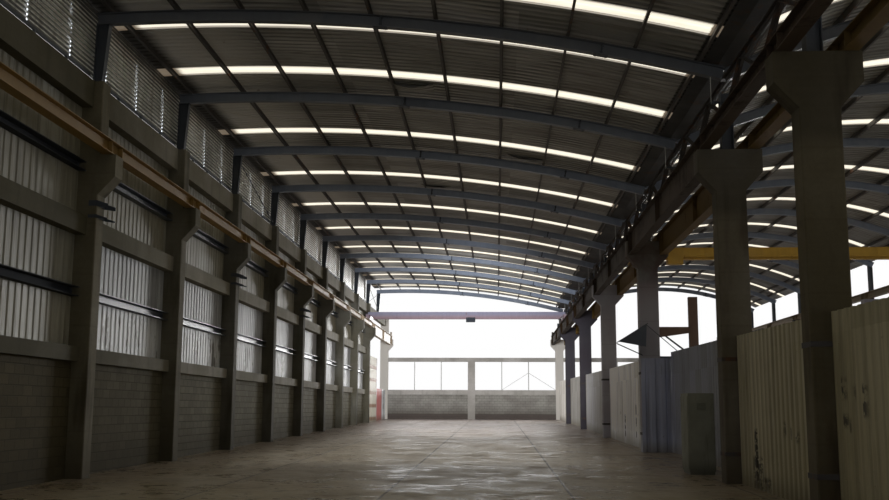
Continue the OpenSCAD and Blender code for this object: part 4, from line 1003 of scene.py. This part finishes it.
def craneRibs(y, rails):
    # Cover strips along the box beam's upper corners, ribs between them and the hoist's groove, and axle caps
    top = bridge["low"] + bridge["high"]
    wide, high = bridge["strip"]
    ribX = np.arange(rails[0] + bridge["ribFrom"], rails[1] - bridge["ribTo"], bridge["rib"])
    hub = np.add.outer(rails, (-bridge["carriage"] / 2, bridge["carriage"] / 2)).ravel()
    outward = np.tile([[-1, 0, 0], [1, 0, 0]], (2, 1))
    parts = []
    for side in (-1, 1):
        face = y + side * bridge["wide"] / 2
        start = np.array([rails[0] - bridge["past"], face + side * wide / 2, top - high / 2])
        length = rails[1] - rails[0] + 2 * bridge["past"]
        parts.append(bars(plate(wide, high), start, start + (length, 0, 0)))
        ribY = face + side * bridge["ribSize"][0] / 2
        parts.append(bars(plate(*bridge["ribSize"]), places(ribX, ribY, bridge["low"] + bridge["groove"]),
                          places(ribX, ribY, top - high), (1, 0, 0)))
        start = places(hub, y + side * bridge["base"] / 2, bridge["axle"])
        for (radius, long), sides in ((bridge["cap"], 16), (bridge["pin"], 6)):
            parts.append(pins(radius, start, outward * long, (0, 0, 1), sides))
            start = start + outward * long
    return joined(parts)


for name, crane in cranes.items():
    put(name + "CraneRibs", craneRibs(crane["y"], crane["rails"]), crane["finish"],
        body=name + "_crane")

# Hoarding and cabinet

hoarding = {"rails": (0.54, 2.443), "high": 0.05, "pitch": 0.56, "recess": 0.665, "off": 0.228,
            "boltFrom": 0.2, "boltTo": 0.1, "bolt": 0.016, "face": 0.016, "head": 0.014}


def hoardingBolts():
    # Bolts through the sheets at both rails' heights
    spots = []
    for a, b in zip(headFrames[:-1], headFrames[1:]):
        x = hoarding["recess"] if a == 2 else 0.0
        y = np.arange(frameY(a) + hoarding["off"] + hoarding["boltFrom"],
                      frameY(b) - hoarding["off"] - hoarding["boltTo"], hoarding["pitch"])
        spots += [places(x - hoarding["face"], y, floorZ(y) + z + hoarding["high"] / 2)
                  for z in hoarding["rails"]]
    return pins(hoarding["bolt"], np.concatenate(spots), (-hoarding["head"], 0, 0), (0, 0, 1))


put("hoardingBolts", hoardingBolts(), "hoardingSheet")

cabinet = {"x": (-0.595, -0.015), "y": (-21.8, -20.9), "high": 1.8, "plinth": 0.06, "gap": 0.06,
           "bevel": 0.008, "leaf": 0.405, "leafOff": 0.215, "edge": 0.010, "proud": 0.016,
           "slots": 5, "slotPitch": 0.035, "hood": [(0, 0), (0.012, -0.004), (0.012, -0.010), (0, -0.022)]}


def cabinetDetails():
    # Door leaves stand a little proud of the near and the left faces, with a handle, hinges and slots
    x0, x1 = cabinet["x"]
    y0, y1 = cabinet["y"]
    low, high = hall["cabinetFoot"] + cabinet["plinth"], hall["cabinetFoot"] + cabinet["high"]
    mid, tall = (low + high) / 2, high - low - 2 * cabinet["gap"]
    parts = []

    def leaf(centre, wide, outward):
        for grow, depth in ((0, cabinet["edge"]), (-cabinet["bevel"], cabinet["proud"])):
            parts.append(bars(plate(wide + 2 * grow, tall + 2 * grow), centre,
                              np.add(centre, np.multiply(outward, depth))))

    leaf(((x0 + x1) / 2, y0, mid), x1 - x0 - cabinet["gap"], (0, -1, 0))
    for k in (-1, 1):
        leaf((x0, (y0 + y1) / 2 + k * cabinet["leafOff"], mid), cabinet["leaf"], (-1, 0, 0))
    front = y0 - cabinet["proud"]
    handle = np.array([x1 - 0.10, front, mid + 0.05])
    parts.append(bars(plate(0.03, 0.14), handle, handle + (0, -0.012, 0)))
    parts.append(pins(0.010, handle + (0, -0.012, 0.03), (0, -0.02, -0.08), (1, 0, 0), 10))
    hinge = places(x0 + 0.022, front, np.array([low + 0.25, mid, high - 0.25]))
    parts.append(pins(0.012, hinge, (0, 0, 0.09), sides=10))
    slotZ = high - 0.22 - np.arange(cabinet["slots"]) * cabinet["slotPitch"]
    slot = places((x0 + x1) / 2 - 0.1, front, slotZ)
    parts.append(bars(cabinet["hood"], slot, slot + (0.2, 0, 0)))
    return joined(parts)


put("cabinetDoors", cabinetDetails(), "cabinetPaint")

# A dark side sheet and a strut at the canopy, and a brown post and a tapered beam round the frame's bars, as
# outlines in X and Z between two places along the hall
canopy = {"y": (-12.72, -12.70), "shapes": [[(-1.055, 3.715), (-0.16, 4.255), (-0.20, 3.56)],
                                            [(-0.16, 4.225), (0.85, 3.345), (0.85, 3.375), (-0.16, 4.255)]]}
casing = {"y": (-12.10, -11.90), "shapes": [[(1.29, 0.265), (1.57, 0.265), (1.57, 5.20), (1.29, 5.20)],
                                            [(0.316, 3.90), (1.30, 4.04), (1.30, 4.23), (0.316, 4.23)]]}


def outlines(use):
    near, far = ((0, y, 0) for y in use["y"])
    return joined([bars(np.array(shape) * (-1, 1), far, near) for shape in use["shapes"]])


put("canopyParts", outlines(canopy), "navySteel")
put("frameCasing", outlines(casing), "frameBrown")

# Loose sheets under the roof

loose = {"steps": (12, 5), "below": 0.012, "thick": 0.006, "hold": 0.4}
looseSheets = [
    {"x": (-7.85, -6.62), "y": (-19.05, -18.45), "drop": 0.16},
    {"x": (-4.62, -3.34), "y": (-12.40, -11.95), "drop": 0.10},
    {"x": (-7.88, -6.66), "y": (-6.15, -5.60), "drop": 0.10},
]


def slippedSheets():
    # Each thin sheet hangs from the roof: its height is the purlins' top less a drop that grows to the middle
    parts = []
    n, m = loose["steps"]
    i, j = np.meshgrid(np.arange(n - 1), np.arange(m - 1), indexing="ij")
    k = (i * m + j).ravel()
    sheet = np.stack((k, k + 1, k + m + 1, k + m), 1)
    rim = np.concatenate((np.arange(m - 1), np.arange(m - 1, n * m - 1, m),
                          np.arange(n * m - 1, (n - 1) * m, -1), np.arange((n - 1) * m, 0, -m)))
    after = np.roll(rim, -1)
    walls = np.stack((rim, after, after + n * m, rim + n * m), 1)
    faces = np.concatenate((sheet, sheet + n * m, walls)).tolist()
    for use in looseSheets:
        angle = firstArc.angle(np.linspace(*use["x"], n)[:, None] - firstArc.crownX)
        y = np.linspace(*use["y"], m)
        sag = np.sin(np.linspace(0, np.pi, n))[:, None] * use["drop"] * np.linspace(1, loose["hold"], m)
        up = purlinTop - loose["below"] - sag
        points = [firstArc.at(angle, up - under, y).reshape(-1, 3) for under in (loose["thick"], 0)]
        parts.append((np.concatenate(points), faces))
    return joined(parts)


put("slippedSheets", slippedSheets(), "roofSheet")

# Stage and light

stage = {"wide": 220.0, "colour": (0.55, 0.545, 0.53), "rough": 0.9, "sky": (1.0, 1.0, 1.0), "light": 1.1,
         "shadeLight": 0.03}
suns = {"lowSun": (2.2, 12, (0.33, 0.94, 0.06)), "topSun": (0.8, 60, (-0.20, 0.36, 0.91)),
        "leftSun": (0.7, 45, (-0.85, 0.20, 0.48))}
lamps = {name: {"kind": "SUN", "energy": energy, "from": towards, "settings": {"angle": math.radians(spread)}}
         for name, (energy, spread, towards) in suns.items()}
lamps |= {
    "farLamp": {"kind": "SPOT", "energy": 8500, "from": (0, -1, 0.03), "place": (-6.6, -8.0, 4.5),
                "settings": {"spot_size": math.radians(46), "spot_blend": 1.0, "shadow_soft_size": 1.0}},
    "floorLight": {"kind": "AREA", "energy": 120, "from": (0, 0.001, 1), "place": (-6.9, 6.0, 1.4),
                   "settings": {"shape": "RECTANGLE", "size": 4.5, "size_y": 25.0}},
}


def addStage():
    w = stage["wide"] / 2
    mesh = bpy.data.meshes.new("stageFloor")
    mesh.from_pydata([(-w, -w, 0), (w, -w, 0), (w, w, 0), (-w, w, 0)], [], [(0, 1, 2, 3)])
    floor = bpy.data.objects.new("stageFloor", mesh)
    bpy.context.scene.collection.objects.link(floor)
    paint = bpy.data.materials.new("stagePaint")
    paint.use_nodes = True
    sockets = paint.node_tree.nodes["Principled BSDF"].inputs
    sockets["Base Color"].default_value = shade(stage["colour"])
    sockets["Roughness"].default_value = stage["rough"]
    mesh.materials.append(paint)


def addLight():
    world = bpy.data.worlds.new("studio")
    world.use_nodes = True
    tree = world.node_tree
    tree.nodes.clear()
    start = Value(tree, None)
    seen = start.node("LightPath", output=0).most(start.node("LightPath", output=3))
    seen = seen.most(start.node("LightPath", output=6))
    towards = start.node("SeparateXYZ", inputs={0: start.node("TexCoord", output=0)}, output=1)
    soft = towards.step(0.3, 1.0) * (1 - stage["shadeLight"]) + stage["shadeLight"]  # dim but for the far end
    light = start.node("Background", inputs={1: soft * stage["light"]})
    white = start.node("Background", inputs={0: shade(stage["sky"])})
    both = start.node("MixShader", inputs={0: seen, 1: light, 2: white})
    out = tree.nodes.new("ShaderNodeOutputWorld")
    tree.links.new(both.socket, out.inputs[0])
    bpy.context.scene.world = world
    for name, use in lamps.items():
        lamp = bpy.data.objects.new(name, bpy.data.lights.new(name, use["kind"]))
        lamp.data.energy = use["energy"]
        for key, setting in use["settings"].items():
            setattr(lamp.data, key, setting)
        lamp.rotation_euler = Vector(use["from"]).to_track_quat("Z", "Y").to_euler()
        if "place" in use:  # the two inner lamps light the hall and are never seen themselves
            lamp.location = Vector(use["place"]) * model["scale"]
            lamp.visible_camera = lamp.visible_glossy = False
        bpy.context.scene.collection.objects.link(lamp)


addStage()
addLight()
bpy.context.scene.view_settings.view_transform = "Standard"
print("stage and light set")
